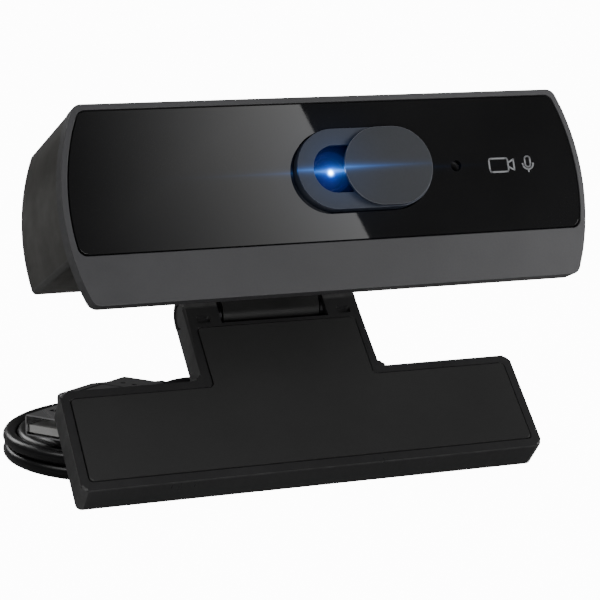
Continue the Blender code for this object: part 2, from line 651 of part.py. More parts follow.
def make_housing():
    top = HEAD_HEIGHT - HOUSING_INSET
    housing = prism("rear_housing", bowed(LIP_HEIGHT, top, HOUSING_INSET, HOUSING_CORNER),
                    HOUSING_FRONT, HEAD_DEPTH, HEAD, "housing_plastic", back_edge=HOUSING_EDGE)
    inside = bowed(LIP_HEIGHT + HOUSING_WALL, top - HOUSING_WALL, HOUSING_INSET + HOUSING_WALL,
                   HOUSING_INNER_CORNER)
    cut(housing, "inside", [inside], 0, HOUSING_INNER_BACK)
    bosses = [circle(spot, SCREW_BOSS, 16) for spot in HOUSING_SCREWS]
    add(housing, "bosses", bosses, HOUSING_FRONT + 0.0025, HOUSING_INNER_BACK + 0.0005)
    pilots = [circle(spot, PILOT, 12) for spot in HOUSING_SCREWS]
    cut(housing, "pilots", pilots, 0, HOUSING_FRONT + 0.0120)
    holes = [circle(spot, PILOT, 12) for spot in ARM_SCREWS.values()]
    holes.append(circle(CORD_EXIT, RELIEF_NECK + GAP))
    cut(housing, "back_holes", holes, HOUSING_INNER_BACK - GAP, HEAD_DEPTH + GAP)
    for index, spot in enumerate(HOUSING_SCREWS, 1):
        screw(f"housing_screw_{index}", spot, SCREW_SEAT, 1, 0.0100, HEAD)


def make_relief():
    """A moulded boot held in the housing's back wall by a flange on each side."""
    flange, thin = 0.0044, CORD_RADIUS + 0.0006
    outside = HEAD_DEPTH + GAP
    inside = HOUSING_INNER_BACK - GAP
    shoulder = outside + 0.0012
    profile = [(0, inside - 0.0012), (flange, inside - 0.0012), (flange, inside),
               (RELIEF_NECK, inside), (RELIEF_NECK, outside), (flange, outside),
               (flange, shoulder), (0.0034, shoulder), (thin, RELIEF_TIP), (0, RELIEF_TIP)]
    turned("strain_relief", profile, HEAD, "cord_rubber", centre=(CORD_EXIT[0], 0, CORD_EXIT[1]))


def make_hinge_arm():
    """A gooseneck from the housing's back down to the hinge barrel."""
    front = HEAD_DEPTH + GAP
    axis = (HINGE_DEPTH, HINGE_HEIGHT)
    side = [(front, LIP_HEIGHT + 0.0020), (axis[0] - 0.0057, LIP_HEIGHT + 0.0008),
            (axis[0] - HALF_LEG, axis[1] + 0.0036)]
    side += arc(axis, HALF_LEG, math.pi, 2 * math.pi, 14)
    side += [(axis[0] + HALF_LEG, axis[1] + 0.0046), (axis[0] - 0.0015, ARM_TOP - 0.0020),
             (axis[0] - 0.0060, ARM_TOP), (front, ARM_TOP)]
    work = bmesh.new()
    rims = [[work.verts.new((x, depth, height)) for depth, height in side]
            for x in (-ARM_HALF_WIDTH, ARM_HALF_WIDTH)]
    for rim in rims:
        work.faces.new(rim)
    for index in range(len(side)):
        following = (index + 1) % len(side)
        work.faces.new((rims[0][index], rims[0][following], rims[1][following], rims[1][index]))
    arm = place("hinge_arm", finish_mesh(work, "hinge_arm"), HEAD, "black_plastic")
    hole = [(PIN_RADIUS + GAP, -HEAD_WIDTH / 4), (PIN_RADIUS + GAP, HEAD_WIDTH / 4)]
    bore(arm, "pin_bore", [hole], centre=(0, *axis))
    pilots = [circle(spot, PILOT, 12) for spot in ARM_SCREWS.values()]
    cut(arm, "pilots", pilots, HEAD_DEPTH, HEAD_DEPTH + 0.0065)
    for name, spot in ARM_SCREWS.items():
        screw(f"arm_screw_{name}", spot, HOUSING_INNER_BACK, 1, 0.0072, HEAD)


# ---- leg ---------------------------------------------------------------------------------------
def make_leg():
    leg = prism("leg_frame", tee(0, 0, LEG_CORNER), -HALF_LEG, HALF_LEG, LEG, "leg_plastic",
                front_edge=0.0004, back_edge=0.0004)
    knuckle = [(HALF_LEG, -NECK_WIDTH / 2), (HALF_LEG, NECK_WIDTH / 2)]
    data = turned_mesh("knuckle", [knuckle], "X", 28, (0, 0, 0), False)
    boolean(leg, place("leg_frame_knuckle_guide", data, LEG), "UNION")
    slot = box((-SLOT_HALF_WIDTH, SLOT_FLOOR), (SLOT_HALF_WIDTH, LEG_THICKNESS))
    cut(leg, "slot", [slot], -LEG_THICKNESS, LEG_THICKNESS)
    cap = PIN_CAP_RADIUS + GAP
    half = NECK_WIDTH / 2
    seat = half - PIN_CAP_THICKNESS - 2 * GAP - 0.0002
    bore(leg, "pin_bore", [[(PIN_RADIUS + GAP, -half - GAP), (PIN_RADIUS + GAP, half + GAP)]])
    bore(leg, "cap_bores", [[(cap, side * seat), (cap, side * (half + GAP))] for side in (-1, 1)])
    cut(leg, "pad_recess", [tee(PAD_MARGIN - GAP, -PAD_TOP + GAP, 0.0010)], -LEG_THICKNESS,
        -HALF_LEG + PAD_THICKNESS - PAD_PROUD + GAP)
    width, height, depth = KNUCKLE_POCKET
    pockets = [around((side * KNUCKLE_POCKET_OFFSET[0], -KNUCKLE_POCKET_OFFSET[1]),
                      width / 2, height / 2) for side in (-1, 1)]
    cut(leg, "pockets", pockets, -LEG_THICKNESS, -HALF_LEG + depth)
    cut(leg, "cover_recess", [tee(BACK_COVER_MARGIN, BACK_COVER_TOP + GAP, 0.0008)], LEDGE,
        LEG_THICKNESS)
    margin = BACK_COVER_MARGIN + LEG_WALL
    cut(leg, "inside", [tee(margin, BACK_COVER_TOP - LEG_WALL, 0.0008)], CAVITY_FRONT, LEG_THICKNESS)
    bosses = [circle(spot, SCREW_BOSS - 0.0004, 16) for spot in LEG_SCREWS]
    add(leg, "bosses", bosses, CAVITY_FRONT - 0.0005, LEDGE)
    pilots = [circle(spot, PILOT, 12) for spot in LEG_SCREWS]
    cut(leg, "pilots", pilots, CAVITY_FRONT + GAP, LEG_THICKNESS)

    prism("leg_pad", tee(PAD_MARGIN, -PAD_TOP, 0.0008), PAD_FACE, PAD_FACE + PAD_THICKNESS, LEG,
          "pad_rubber", front_edge=0.00015)
    back = prism("leg_back_cover", tee(BACK_COVER_MARGIN + GAP, BACK_COVER_TOP, 0.0006),
                 HALF_LEG - BACK_COVER_THICKNESS, HALF_LEG, LEG, "leg_plastic")
    seat = HALF_LEG - SCREW_HEAD_HEIGHT - GAP - 0.0001
    cut(back, "holes", pilots, LEDGE, LEG_THICKNESS)
    cut(back, "counterbores", [circle(spot, COUNTERBORE, 16) for spot in LEG_SCREWS], seat,
        LEG_THICKNESS)
    for index, spot in enumerate(LEG_SCREWS, 1):
        screw(f"leg_screw_{index}", spot, seat, -1, 0.0036, LEG, "black_steel")


def make_hinge():
    half_pin = NECK_WIDTH / 2 - PIN_CAP_THICKNESS - 3 * GAP - 0.0002
    turned("hinge_pin", [(0, -half_pin), (PIN_RADIUS, -half_pin), (PIN_RADIUS, half_pin),
                         (0, half_pin)], LEG, "steel", axis="X", segments=16)
    inner, outer = PIN_RADIUS + GAP, HALF_LEG - GAP
    for name, side in (("left", -1), ("right", 1)):
        near = side * (ARM_HALF_WIDTH + GAP)
        far = near + side * WASHER_THICKNESS
        turned(f"friction_washer_{name}", [(outer, near), (outer, far), (inner, far), (inner, near)],
               LEG, "steel", axis="X", segments=24, hollow=True)
        face = side * (NECK_WIDTH / 2 - 0.0002)
        under = face - side * PIN_CAP_THICKNESS
        turned(f"pin_cap_{name}", [(0, under), (PIN_CAP_RADIUS, under), (PIN_CAP_RADIUS, face),
                                   (0, face)], LEG, "leg_plastic", axis="X", segments=20)


# ---- cord, coil and plug, on the table that the leg's foot touches ------------------------------
def make_cord():
    """The cord leaves the head's relief, drops behind the leg and runs to the coil."""
    head_on_table = (Matrix.Translation(HINGE - Vector((0, 0, FLOOR)))
                     @ Matrix.Rotation(-HEAD_LEAN, 4, "X") @ Matrix.Translation(OFFSETS[HEAD]))
    ahead = head_on_table.to_3x3() @ Vector((0, 1, 0))
    start = head_on_table @ Vector((CORD_EXIT[0], RELIEF_TIP + GAP, CORD_EXIT[1]))
    curve = smooth_curve([start, start + ahead * 0.0040] + DROP + RUN)
    joint = min(range(len(curve)), key=lambda i: (curve[i] - Vector(DROP[-1])).length)
    spacing = 4 * CORD_RADIUS
    along = (curve[joint + 1] - curve[joint]).normalized() * GAP
    lead = even_steps(curve[:joint] + [curve[joint] - along], spacing)
    to_head = head_on_table.inverted()
    tube("cord_lead", [to_head @ point for point in lead], HEAD, "cord_rubber")
    rest = even_steps([curve[joint] + along] + curve[joint + 1:], spacing)
    tube("cord_run", rest, TABLE, "cord_rubber")
    tube("cord_tail", even_steps(smooth_curve(TAIL), spacing), TABLE, "cord_rubber")


# The route, as (x, y, height above the table); the last point of DROP is on a line from the hinge.
DROP = [(0.0080, 0.0495, 0.0372), (0.0080, 0.0507, 0.0300), (0.0080, 0.0502, 0.0220),
        (0.0080, 0.0500, 0.0150), (0.0080, 0.0512, 0.0098), (0.0080, 0.0539, 0.0060)]
RUN = [(0.0078, 0.0586, 0.0030), (0.0062, 0.0632, 0.0017), (0.0015, 0.0658, 0.0015),
       (-0.0045, 0.0648, 0.0015), (-0.0100, 0.0621, 0.0018), (-0.0155, 0.0605, 0.0023)]
TAIL = [(-0.0046, 0.0196, 0.0052), (0.0000, 0.0236, 0.0040), (0.0030, 0.0290, 0.0028),
        (0.0044, 0.0350, 0.0026), (0.0031, 0.0417, 0.0046), (-0.0003, 0.0462, 0.0080),
        (-0.0053, 0.0488, 0.0106), (-0.0098, 0.0492, 0.0112), (-0.0136, 0.0483, 0.0112),
        (-0.0165, 0.0466, 0.0111)]


def make_coil():
    base = COIL_BASE - FLOOR
    low, high = COIL_RADIUS - COIL_HALF_SPAN, COIL_RADIUS + COIL_HALF_SPAN
    outline = rounded_box((COIL_RADIUS, base + COIL_HEIGHT / 2), COIL_HALF_SPAN,
                          COIL_HEIGHT / 2, CORD_RADIUS)
    turned("cord_coil", outline, TABLE, "cord_rubber", axis="Z", segments=40,
           centre=(*COIL_CENTRE, 0), hollow=True)
    slack = 2 * GAP
    spot = (COIL_RADIUS, base + COIL_HEIGHT / 2)
    wide, tall = (high - low) / 2 + slack, COIL_HEIGHT / 2 + GAP
    tie = prism("coil_tie", rounded_box(spot, wide + TIE_THICKNESS, tall + TIE_THICKNESS, 0.0018),
                -TIE_WIDTH / 2, TIE_WIDTH / 2, TABLE, "black_plastic")
    cut(tie, "inside", [rounded_box(spot, wide, tall, 0.0014)], -TIE_WIDTH, TIE_WIDTH)
    for piece in [tie] + [step.object for step in tie.modifiers]:
        piece.location = (*COIL_CENTRE, 0)
        piece.rotation_euler = (0, 0, TIE_ANGLE)


def make_plug():
    """A flat rectangular data plug that lies on the coil, mouth at the frame's origin."""
    width, thickness, length = SHELL_SIZE
    shell = prism("usb_shell", rounded_box((0, 0), width / 2, thickness / 2, 0.0005, 2), 0, length,
                  PLUG, "nickel")
    cut(shell, "mouth", [around((0, 0), width / 2 - SHELL_WALL, thickness / 2 - SHELL_WALL)],
        -GAP, length - 0.0006)
    window = 0.0011
    windows = [around((side * 0.0027, 0.0062), window, window) for side in (-1, 1)]
    cut(shell, "windows", windows, -thickness, thickness, upright=True)
    tongue = 0.0008
    prism("usb_tongue", around((0, -thickness / 2 + SHELL_WALL + GAP + tongue),
                               width / 2 - SHELL_WALL - GAP, tongue),
          0.0006, length - 0.0006 - GAP, PLUG, "white_plastic")
    start = length + GAP
    end = start + OVERMOLD_LENGTH
    half, neck = OVERMOLD_WIDTH / 2, OVERMOLD_NECK / 2
    right = [(half, start, 0.0012), (half, end - 0.0095, 0.0012), (neck, end - 0.0065, 0.0008),
             (neck, end, 0.0006)]
    outline = rounded(right + [(-x, y, radius) for x, y, radius in reversed(right)], 3)
    prism("usb_overmold", outline, -OVERMOLD_THICKNESS / 2, OVERMOLD_THICKNESS / 2, PLUG,
          "plug_plastic", upright=True, front_edge=0.0008, back_edge=0.0008)
    profile = [(0, end + GAP)]
    rings = 3
    for ring in range(rings):
        near = end + GAP + BOOT_LENGTH * ring / rings
        far = near + BOOT_LENGTH / rings
        radius = BOOT_RADIUS - 0.0003 * ring
        profile += [(radius, near), (radius, far - 0.0006), (radius - 0.0006, far - 0.0006),
                    (radius - 0.0006, far)]
    profile.append((0, end + GAP + BOOT_LENGTH))
    turned("usb_boot", profile, PLUG, "cord_rubber", segments=16)


make_bezel()
make_lip_pad()
make_panel()
make_island()
make_cover()
make_lens()
make_board()
make_housing()
make_relief()
make_hinge_arm()
make_leg()
make_hinge()
make_cord()
make_coil()
make_plug()
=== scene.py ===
"""Webcam with a monitor clip, dressed over its CAD frame: metres, in the frame's own axes."""
import math

import bmesh
import bpy
from mathutils import Matrix, Vector, geometry


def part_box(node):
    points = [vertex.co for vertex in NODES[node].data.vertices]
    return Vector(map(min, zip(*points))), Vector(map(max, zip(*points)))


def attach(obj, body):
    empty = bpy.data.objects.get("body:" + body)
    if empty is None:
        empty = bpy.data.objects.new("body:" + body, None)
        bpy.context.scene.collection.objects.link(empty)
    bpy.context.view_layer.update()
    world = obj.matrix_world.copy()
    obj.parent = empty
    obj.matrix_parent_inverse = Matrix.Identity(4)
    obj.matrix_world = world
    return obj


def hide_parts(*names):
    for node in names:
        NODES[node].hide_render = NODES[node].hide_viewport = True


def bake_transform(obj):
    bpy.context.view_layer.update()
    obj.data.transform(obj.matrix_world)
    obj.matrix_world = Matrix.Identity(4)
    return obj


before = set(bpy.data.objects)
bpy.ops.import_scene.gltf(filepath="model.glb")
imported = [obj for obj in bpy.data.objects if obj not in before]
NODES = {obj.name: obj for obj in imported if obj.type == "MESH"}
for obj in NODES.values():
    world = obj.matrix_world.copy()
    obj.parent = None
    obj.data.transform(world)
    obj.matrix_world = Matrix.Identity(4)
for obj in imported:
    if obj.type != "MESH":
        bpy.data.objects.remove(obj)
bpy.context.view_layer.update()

# ---- driving sizes, repeated from the CAD -------------------------------------------------------
GAP = 0.0003
HEAD_WIDTH, HEAD_HEIGHT, END_BOW, HEAD_DEPTH = 0.1100, 0.0390, 0.0041, 0.0375
HEAD_LEAN, LEG_LEAN = math.radians(20.7), math.radians(47.1)
BEZEL_THICKNESS, BEZEL_CORNER, LIP_HEIGHT = 0.0045, 0.0022, 0.0094
HOUSING_INSET, HOUSING_CORNER, HOUSING_EDGE, HOUSING_WALL = 0.0003, 0.0011, 0.0008, 0.0018
HOUSING_INNER_CORNER = 0.0008
PANEL_SIDE_MARGIN, PANEL_BOTTOM_MARGIN = 0.0015, 0.0099
PANEL_SET_BACK, PANEL_THICKNESS = 0.0001, 0.0012
ISLAND_STRETCH, ISLAND_RISE, ISLAND_WALL, ISLAND_RADIUS = 0.0125, 0.0021, 0.0012, 0.0081
WINDOW_RADIUS, WINDOW_CUT = 0.0048, 0.0034
WINDOW_GLASS_LAP, WINDOW_GLASS_THICKNESS = 0.0010, 0.0008
LENS_BARREL_RADIUS, LENS_BARREL_FRONT, LENS_BARREL_LENGTH = 0.0042, 0.0007, 0.0088
LENS_RADIUS = 0.0028
COVER_STRETCH, COVER_THICKNESS, COVER_RADIUS = 0.0029, 0.0009, 0.0079
COVER_END_MARGIN, COVER_STEM_OFFSET = 0.0005, 0.0052
STEM_HALF = (0.0010, 0.0011)
MICROPHONE_OFFSET, MICROPHONE_HOLE = 0.0268, 0.00115
ARM_REACH, ARM_HALF_WIDTH, ARM_HEIGHT = 0.0112, 0.0110, 0.0094
FOLD_GAP, FOLD_LIP_GAP, PIN_RADIUS = 0.0011, 0.0015, 0.0015
LEG_THICKNESS, BAR_LENGTH, BAR_WIDTH, NECK_WIDTH = 0.0078, 0.1013, 0.0236, 0.0399
LEG_CORNER, PAD_MARGIN, PAD_TOP, PAD_THICKNESS, PAD_PROUD = 0.0014, 0.0021, 0.0060, 0.0007, 0.0002
BACK_COVER_THICKNESS, BACK_COVER_MARGIN, BACK_COVER_TOP = 0.0020, 0.0010, -0.0080
SLOT_HALF_WIDTH = ARM_HALF_WIDTH + 0.0006 + 2 * GAP
SCREW_HOLE, COUNTERBORE, SCREW_HEAD_HEIGHT = 0.0013, 0.0022, 0.0008
KNUCKLE_POCKET, KNUCKLE_POCKET_OFFSET = (0.0029, 0.0017, 0.0010), (0.0161, 0.0037)
PIN_CAP_RADIUS, PIN_CAP_DEPTH = 0.0024, 0.0018
CORD_RADIUS, RELIEF_LENGTH, RELIEF_NECK = 0.0015, 0.0165, 0.0032
COIL_RADIUS, COIL_ACROSS, COIL_LAYERS = 0.0180, 6, 2
TIE_THICKNESS = 0.0005
SHELL_LENGTH, OVERMOLD_WIDTH, OVERMOLD_NECK = 0.0120, 0.0160, 0.0120
OVERMOLD_LENGTH, OVERMOLD_THICKNESS, BOOT_LENGTH, BOOT_RADIUS = 0.0220, 0.0080, 0.0070, 0.0031
PLUG_HEADING = math.atan2(0.6, 0.8)

HALF_LEG = LEG_THICKNESS / 2
HINGE_DEPTH = HEAD_DEPTH + ARM_REACH
HINGE_HEIGHT = LIP_HEIGHT - FOLD_GAP - HALF_LEG
LEG_LENGTH = HINGE_DEPTH - BEZEL_THICKNESS - FOLD_LIP_GAP
PANEL_TOP = HEAD_HEIGHT - PANEL_SIDE_MARGIN
LENS_HEIGHT = (PANEL_BOTTOM_MARGIN + PANEL_TOP) / 2
BOW_RADIUS = ((HEAD_HEIGHT / 2) ** 2 + END_BOW ** 2) / (2 * END_BOW)
BOW_CENTRE = HEAD_WIDTH / 2 - BOW_RADIUS
ARM_TOP = LIP_HEIGHT + ARM_HEIGHT
CORD_EXIT = (0.0080, LENS_HEIGHT)
RELIEF_TIP = HEAD_DEPTH + RELIEF_LENGTH
COVER_HALF = COVER_RADIUS + COVER_STRETCH / 2
COVER_REST = ISLAND_STRETCH + ISLAND_RADIUS - COVER_END_MARGIN - COVER_HALF
COVER_TRAVEL = ISLAND_STRETCH + 2 * (ISLAND_RADIUS - COVER_END_MARGIN - COVER_HALF)
PAD_FACE = -HALF_LEG - PAD_PROUD


def middle(node):
    low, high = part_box(node)
    return (low + high) / 2


HINGE = middle("hinge_pin")
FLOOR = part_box("leg_frame")[0].z
COIL_CENTRE = middle("cord_coil")
HEAD_AXES = Matrix.Translation(HINGE) @ Matrix.Rotation(-HEAD_LEAN, 4, "X")
IN_HEAD = HEAD_AXES @ Matrix.Translation((0, -HINGE_DEPTH, -HINGE_HEIGHT))
IN_LEG = Matrix.Translation(HINGE) @ Matrix.Rotation(-LEG_LEAN, 4, "X")

# ---- camera -------------------------------------------------------------------------------------
CAMERA_SPOT = Vector((-0.14644, -0.37708, 0.10293))
CAMERA_AZIMUTH, CAMERA_DIP, CAMERA_ROLL = (math.radians(a) for a in (20.99, 10.89, 0.13))
ahead = Vector((math.sin(CAMERA_AZIMUTH) * math.cos(CAMERA_DIP),
                math.cos(CAMERA_AZIMUTH) * math.cos(CAMERA_DIP), -math.sin(CAMERA_DIP)))
camera_data = bpy.data.cameras.new("camera")
camera_data.lens = 120.26
camera_data.sensor_width = 36.0
camera_data.clip_start, camera_data.clip_end = 0.01, 20
camera = bpy.data.objects.new("camera", camera_data)
bpy.context.collection.objects.link(camera)
camera.location = CAMERA_SPOT
camera.rotation_mode = "QUATERNION"
camera.rotation_quaternion = (ahead.to_track_quat("-Z", "Y")
                              @ Matrix.Rotation(CAMERA_ROLL, 3, "Z").to_quaternion())
bpy.context.scene.camera = camera


# ---- materials ----------------------------------------------------------------------------------
class Paint:
    """A Principled material and short ways to add nodes to it, in object coordinates."""

    def __init__(self, name, colour, roughness, metallic=0.0, **sockets):
        self.name = name
        self.made = bpy.data.materials.new(name)
        self.made.use_nodes = True
        self.tree = self.made.node_tree
        self.shader = self.tree.nodes["Principled BSDF"]
        self.set("Base Color", (*colour, 1.0))
        self.set("Roughness", roughness)
        self.set("Metallic", metallic)
        for socket, value in sockets.items():
            self.set(socket.replace("_", " "), value)
        self.place = self.node("ShaderNodeTexCoord").outputs["Object"]

    def set(self, socket, value):
        self.shader.inputs[socket].default_value = value

    def node(self, kind, **settings):
        made = self.tree.nodes.new(kind)
        for key, value in settings.items():
            setattr(made, key, value)
        return made

    def link(self, source, target):
        self.tree.links.new(source, target)

    def feed(self, socket, value):
        if isinstance(value, bpy.types.NodeSocket):
            self.link(value, socket)
        else:
            socket.default_value = value

    def math(self, operation, first, second=0.0, third=0.0):
        made = self.node("ShaderNodeMath", operation=operation)
        for socket, value in zip(made.inputs, (first, second, third)):
            self.feed(socket, value)
        return made.outputs[0]

    def noise(self, scale, detail=2.0, stretch=(1, 1, 1), roughness=0.5):
        place = self.node("ShaderNodeMapping")
        self.link(self.place, place.inputs["Vector"])
        place.inputs["Scale"].default_value = stretch
        made = self.node("ShaderNodeTexNoise")
        self.link(place.outputs[0], made.inputs["Vector"])
        made.inputs["Scale"].default_value = scale
        made.inputs["Detail"].default_value = detail
        made.inputs["Roughness"].default_value = roughness
        return made.outputs["Fac"]

    def spread(self, value, low, high, start=0.3, end=0.7):
        made = self.node("ShaderNodeMapRange")
        for socket, number in zip(("From Min", "From Max", "To Min", "To Max"),
                                  (start, end, low, high)):
            made.inputs[socket].default_value = number
        self.link(value, made.inputs["Value"])
        return made.outputs[0]

    def mix(self, amount, first, second):
        made = self.node("ShaderNodeMix", data_type="RGBA")
        self.feed(made.inputs["Factor"], amount)
        for socket, value in zip((made.inputs[6], made.inputs[7]), (first, second)):
            if isinstance(value, bpy.types.NodeSocket):
                self.link(value, socket)
            else:
                socket.default_value = (*value, 1.0)
        return made.outputs[2]

    def bump(self, height, depth):
        made = self.node("ShaderNodeBump")
        made.inputs["Strength"].default_value = 1.0
        made.inputs["Distance"].default_value = depth
        self.link(height, made.inputs["Height"])
        previous = self.shader.inputs["Normal"].links
        if previous:
            self.link(previous[0].from_socket, made.inputs["Normal"])
        self.link(made.outputs[0], self.shader.inputs["Normal"])


def moulded(name, colour, roughness, grain=2600, depth=0.00001, vary=0.10, edge_sheen_and_wear=None, streaks=0.0,
            metallic=0.0, **sockets):
    """Moulded plastic or rubber: fine grain, slow colour drift, and paler edges in patches, partly
    wear and partly a painted edge highlight.
    """
    paint = Paint(name, colour, roughness, metallic, **sockets)
    drift = paint.noise(35, 3)
    low = tuple(c * (1 - vary) for c in colour)
    high = tuple(c * (1 + vary) for c in colour)
    tint = paint.mix(paint.spread(drift, 0, 1), low, high)
    fine = paint.noise(grain, 2, roughness=0.6)
    tint = paint.mix(paint.spread(fine, 0.0, 0.25), tint, tuple(c * 0.7 for c in colour))
    # Paler narrow faces along rounded edges: partly wear, partly a painted highlight where the
    # bevels catch light.
    if edge_sheen_and_wear:
        edge = paint.node("ShaderNodeAttribute", attribute_name="edge").outputs["Fac"]
        sheen_and_wear_patches = paint.spread(paint.noise(420, 3), 0.35, 1.0)
        tint = paint.mix(paint.math("MULTIPLY", edge, sheen_and_wear_patches), tint, edge_sheen_and_wear)
    paint.link(tint, paint.shader.inputs["Base Color"])
    rough = paint.spread(paint.noise(90, 4, roughness=0.65), roughness * 0.82, roughness * 1.18)
    if streaks:
        hair = paint.noise(900, 2, stretch=(1, 0.06, 0.5))
        rough = paint.math("ADD", rough, paint.spread(hair, -streaks, streaks))
    paint.link(rough, paint.shader.inputs["Roughness"])
    paint.bump(fine, depth)
    return paint


def painted_flare(paint, reach, strength, halo=0.0, spread=0.07, deepest=None):
    """A painted blue flare on the lens axis, set as emission: a round spot with a thin level streak,
    in head millimetres.
    """
    part = paint.node("ShaderNodeSeparateXYZ")
    paint.link(paint.place, part.inputs[0])
    across = paint.math("MULTIPLY", part.outputs["X"], 1000.0)
    up = paint.math("MULTIPLY", paint.math("SUBTRACT", part.outputs["Z"], LENS_HEIGHT), 1000.0)
    radius = paint.math("SQRT", paint.math("ADD", paint.math("MULTIPLY", across, across),
                                           paint.math("MULTIPLY", up, up)))
    thin = paint.math("EXPONENT", paint.math("MULTIPLY", paint.math("ABSOLUTE", up), -2.6))
    faint = paint.math("EXPONENT", paint.math("DIVIDE", paint.math("ABSOLUTE", across), -reach))
    streak = paint.math("MULTIPLY", paint.math("MULTIPLY", thin, faint), strength)
    if halo:
        wide = paint.math("EXPONENT", paint.math("MULTIPLY", paint.math(
            "MULTIPLY", radius, radius), -spread))
        streak = paint.math("ADD", streak, paint.math("MULTIPLY", wide, halo))
    if deepest is not None:
        streak = paint.math("MULTIPLY", streak,
                            paint.math("LESS_THAN", part.outputs["Y"], deepest))
    paint.link(streak, paint.shader.inputs["Emission Strength"])
    return radius


def rings(paint, radius, stops):
    """Colours by distance from the lens axis, given as (millimetres, colour), used for the lens's
    painted glow.
    """
    ramp = paint.node("ShaderNodeValToRGB")
    far = stops[-1][0]
    elements = ramp.color_ramp.elements
    while len(elements) < len(stops):
        elements.new(1.0)
    for element, (distance, colour) in zip(elements, stops):
        element.position = distance / far
        element.color = (*colour, 1.0)
    paint.link(paint.math("DIVIDE", radius, far), ramp.inputs[0])
    return ramp.outputs[0]


# The blue of the painted lens flare, and of the status LED's light.
STREAK_BLUE = (0.05, 0.28, 1.0, 1.0)
MATERIALS = {}


def keep(paint):
    MATERIALS[paint.name] = paint.made


keep(moulded("bezel_plastic", (0.086, 0.086, 0.091), 0.42, depth=0.000008,
             edge_sheen_and_wear=(0.095, 0.095, 0.10), streaks=0.05))
keep(moulded("housing_plastic", (0.054, 0.051, 0.044), 0.36, depth=0.000010, vary=0.03,
             edge_sheen_and_wear=(0.11, 0.11, 0.11), streaks=0.015))
# Panel, island, cover and window glass glow with a painted blue lens flare, set as emission; no lamp
# is there.
panel = moulded("panel_acrylic", (0.0120, 0.0120, 0.0126), 0.016, grain=5200, depth=0.0000001,
                vary=0.25, streaks=0.006, Emission_Color=STREAK_BLUE)
painted_flare(panel, 6.0, 0.45, halo=0.012, spread=0.012)
keep(panel)
# The island's blue tint partly paints the light of the lens flare falling on it.
island = moulded("island_plastic", (0.046, 0.057, 0.085), 0.40, depth=0.000006,
                 edge_sheen_and_wear=(0.12, 0.135, 0.17), Emission_Color=STREAK_BLUE)
painted_flare(island, 7.0, 1.2, halo=0.07, spread=0.035, deepest=-ISLAND_RISE + 0.0006)
keep(island)
cover = moulded("cover_plastic", (0.036, 0.041, 0.051), 0.38, depth=0.000007,
                edge_sheen_and_wear=(0.20, 0.21, 0.24), Emission_Color=STREAK_BLUE)
painted_flare(cover, 6.0, 0.9, halo=0.03, spread=0.02)
keep(cover)
window = Paint("lens_window_glass", (0.004, 0.012, 0.120), 0.04, Specular_IOR_Level=0.05, Alpha=0.45,
               Emission_Color=STREAK_BLUE)
painted_flare(window, 3.0, 4.5, halo=0.16, spread=0.12)
window.bump(window.noise(2400, 3), 0.0000008)
keep(window)
lens = Paint("lens_glass", (0.004, 0.015, 0.100), 0.06, Specular_IOR_Level=0.12)
lens_radius = painted_flare(lens, 3.0, 0.0)      # its strength is replaced by the spot's, below
# The lens's emission: a painted white-blue glow spot fading through blue rings, brightest on the
# axis.
lens.link(rings(lens, lens_radius, [
    (0.0, (1.0, 1.0, 1.0)), (0.30, (0.80, 0.92, 1.0)), (0.60, (0.08, 0.34, 1.0)),
    (1.2, (0.008, 0.030, 0.60)), (2.0, (0.005, 0.009, 0.20)), (3.2, (0.003, 0.004, 0.07))]),
    lens.shader.inputs["Emission Color"])
lens.link(lens.math("ADD", lens.math("MULTIPLY", lens.math("EXPONENT", lens.math(
    "MULTIPLY", lens.math("MULTIPLY", lens_radius, lens_radius), -4.0)), 60.0), 1.5),
    lens.shader.inputs["Emission Strength"])
lens.bump(lens.noise(1500, 2), 0.000001)
keep(lens)
# The barrel glows faintly blue as emission: painted light from the lens flare.
keep(moulded("barrel_plastic", (0.003, 0.006, 0.030), 0.30, depth=0.000006,
             Emission_Color=(0.001, 0.012, 0.20, 1.0), Emission_Strength=0.6))
keep(moulded("black_plastic", (0.010, 0.010, 0.010), 0.42, depth=0.000012,
             edge_sheen_and_wear=(0.035, 0.035, 0.035)))
keep(moulded("leg_plastic", (0.040, 0.040, 0.041), 0.36, depth=0.000010, edge_sheen_and_wear=(0.12, 0.12, 0.12),
             streaks=0.05))
keep(moulded("pad_rubber", (0.048, 0.048, 0.048), 0.80, grain=3400, depth=0.000016, vary=0.06,
             edge_sheen_and_wear=(0.10, 0.10, 0.10), Specular_IOR_Level=0.15))
lip_rubber = moulded("lip_rubber", (0.014, 0.014, 0.014), 0.7, grain=3000, depth=0.000015)
wave = lip_rubber.node("ShaderNodeTexWave", bands_direction="Z")
lip_rubber.link(lip_rubber.place, wave.inputs["Vector"])
wave.inputs["Scale"].default_value = 320
lip_rubber.bump(wave.outputs["Fac"], 0.00006)
keep(lip_rubber)
keep(moulded("tape", (0.015, 0.015, 0.015), 0.8, grain=1800, depth=0.00002))
keep(moulded("board", (0.010, 0.075, 0.030), 0.38, grain=1500, depth=0.000012, vary=0.2))
keep(moulded("chip", (0.014, 0.014, 0.015), 0.5, grain=4200, depth=0.000012))
keep(moulded("steel", (0.52, 0.52, 0.53), 0.28, grain=3800, depth=0.000006, vary=0.08,
             streaks=0.08, metallic=1.0))
keep(moulded("black_steel", (0.040, 0.040, 0.042), 0.32, grain=3200, depth=0.000008, vary=0.2,
             metallic=1.0))
keep(moulded("nickel", (0.72, 0.72, 0.73), 0.20, grain=2800, depth=0.000004, vary=0.06,
             streaks=0.09, metallic=1.0))
keep(moulded("cord_rubber", (0.010, 0.010, 0.011), 0.30, grain=2400, depth=0.000014, vary=0.2))
keep(moulded("plug_plastic", (0.105, 0.105, 0.108), 0.42, depth=0.000012, edge_sheen_and_wear=(0.18, 0.18, 0.18)))
keep(moulded("white_plastic", (0.74, 0.74, 0.72), 0.45, depth=0.00001))
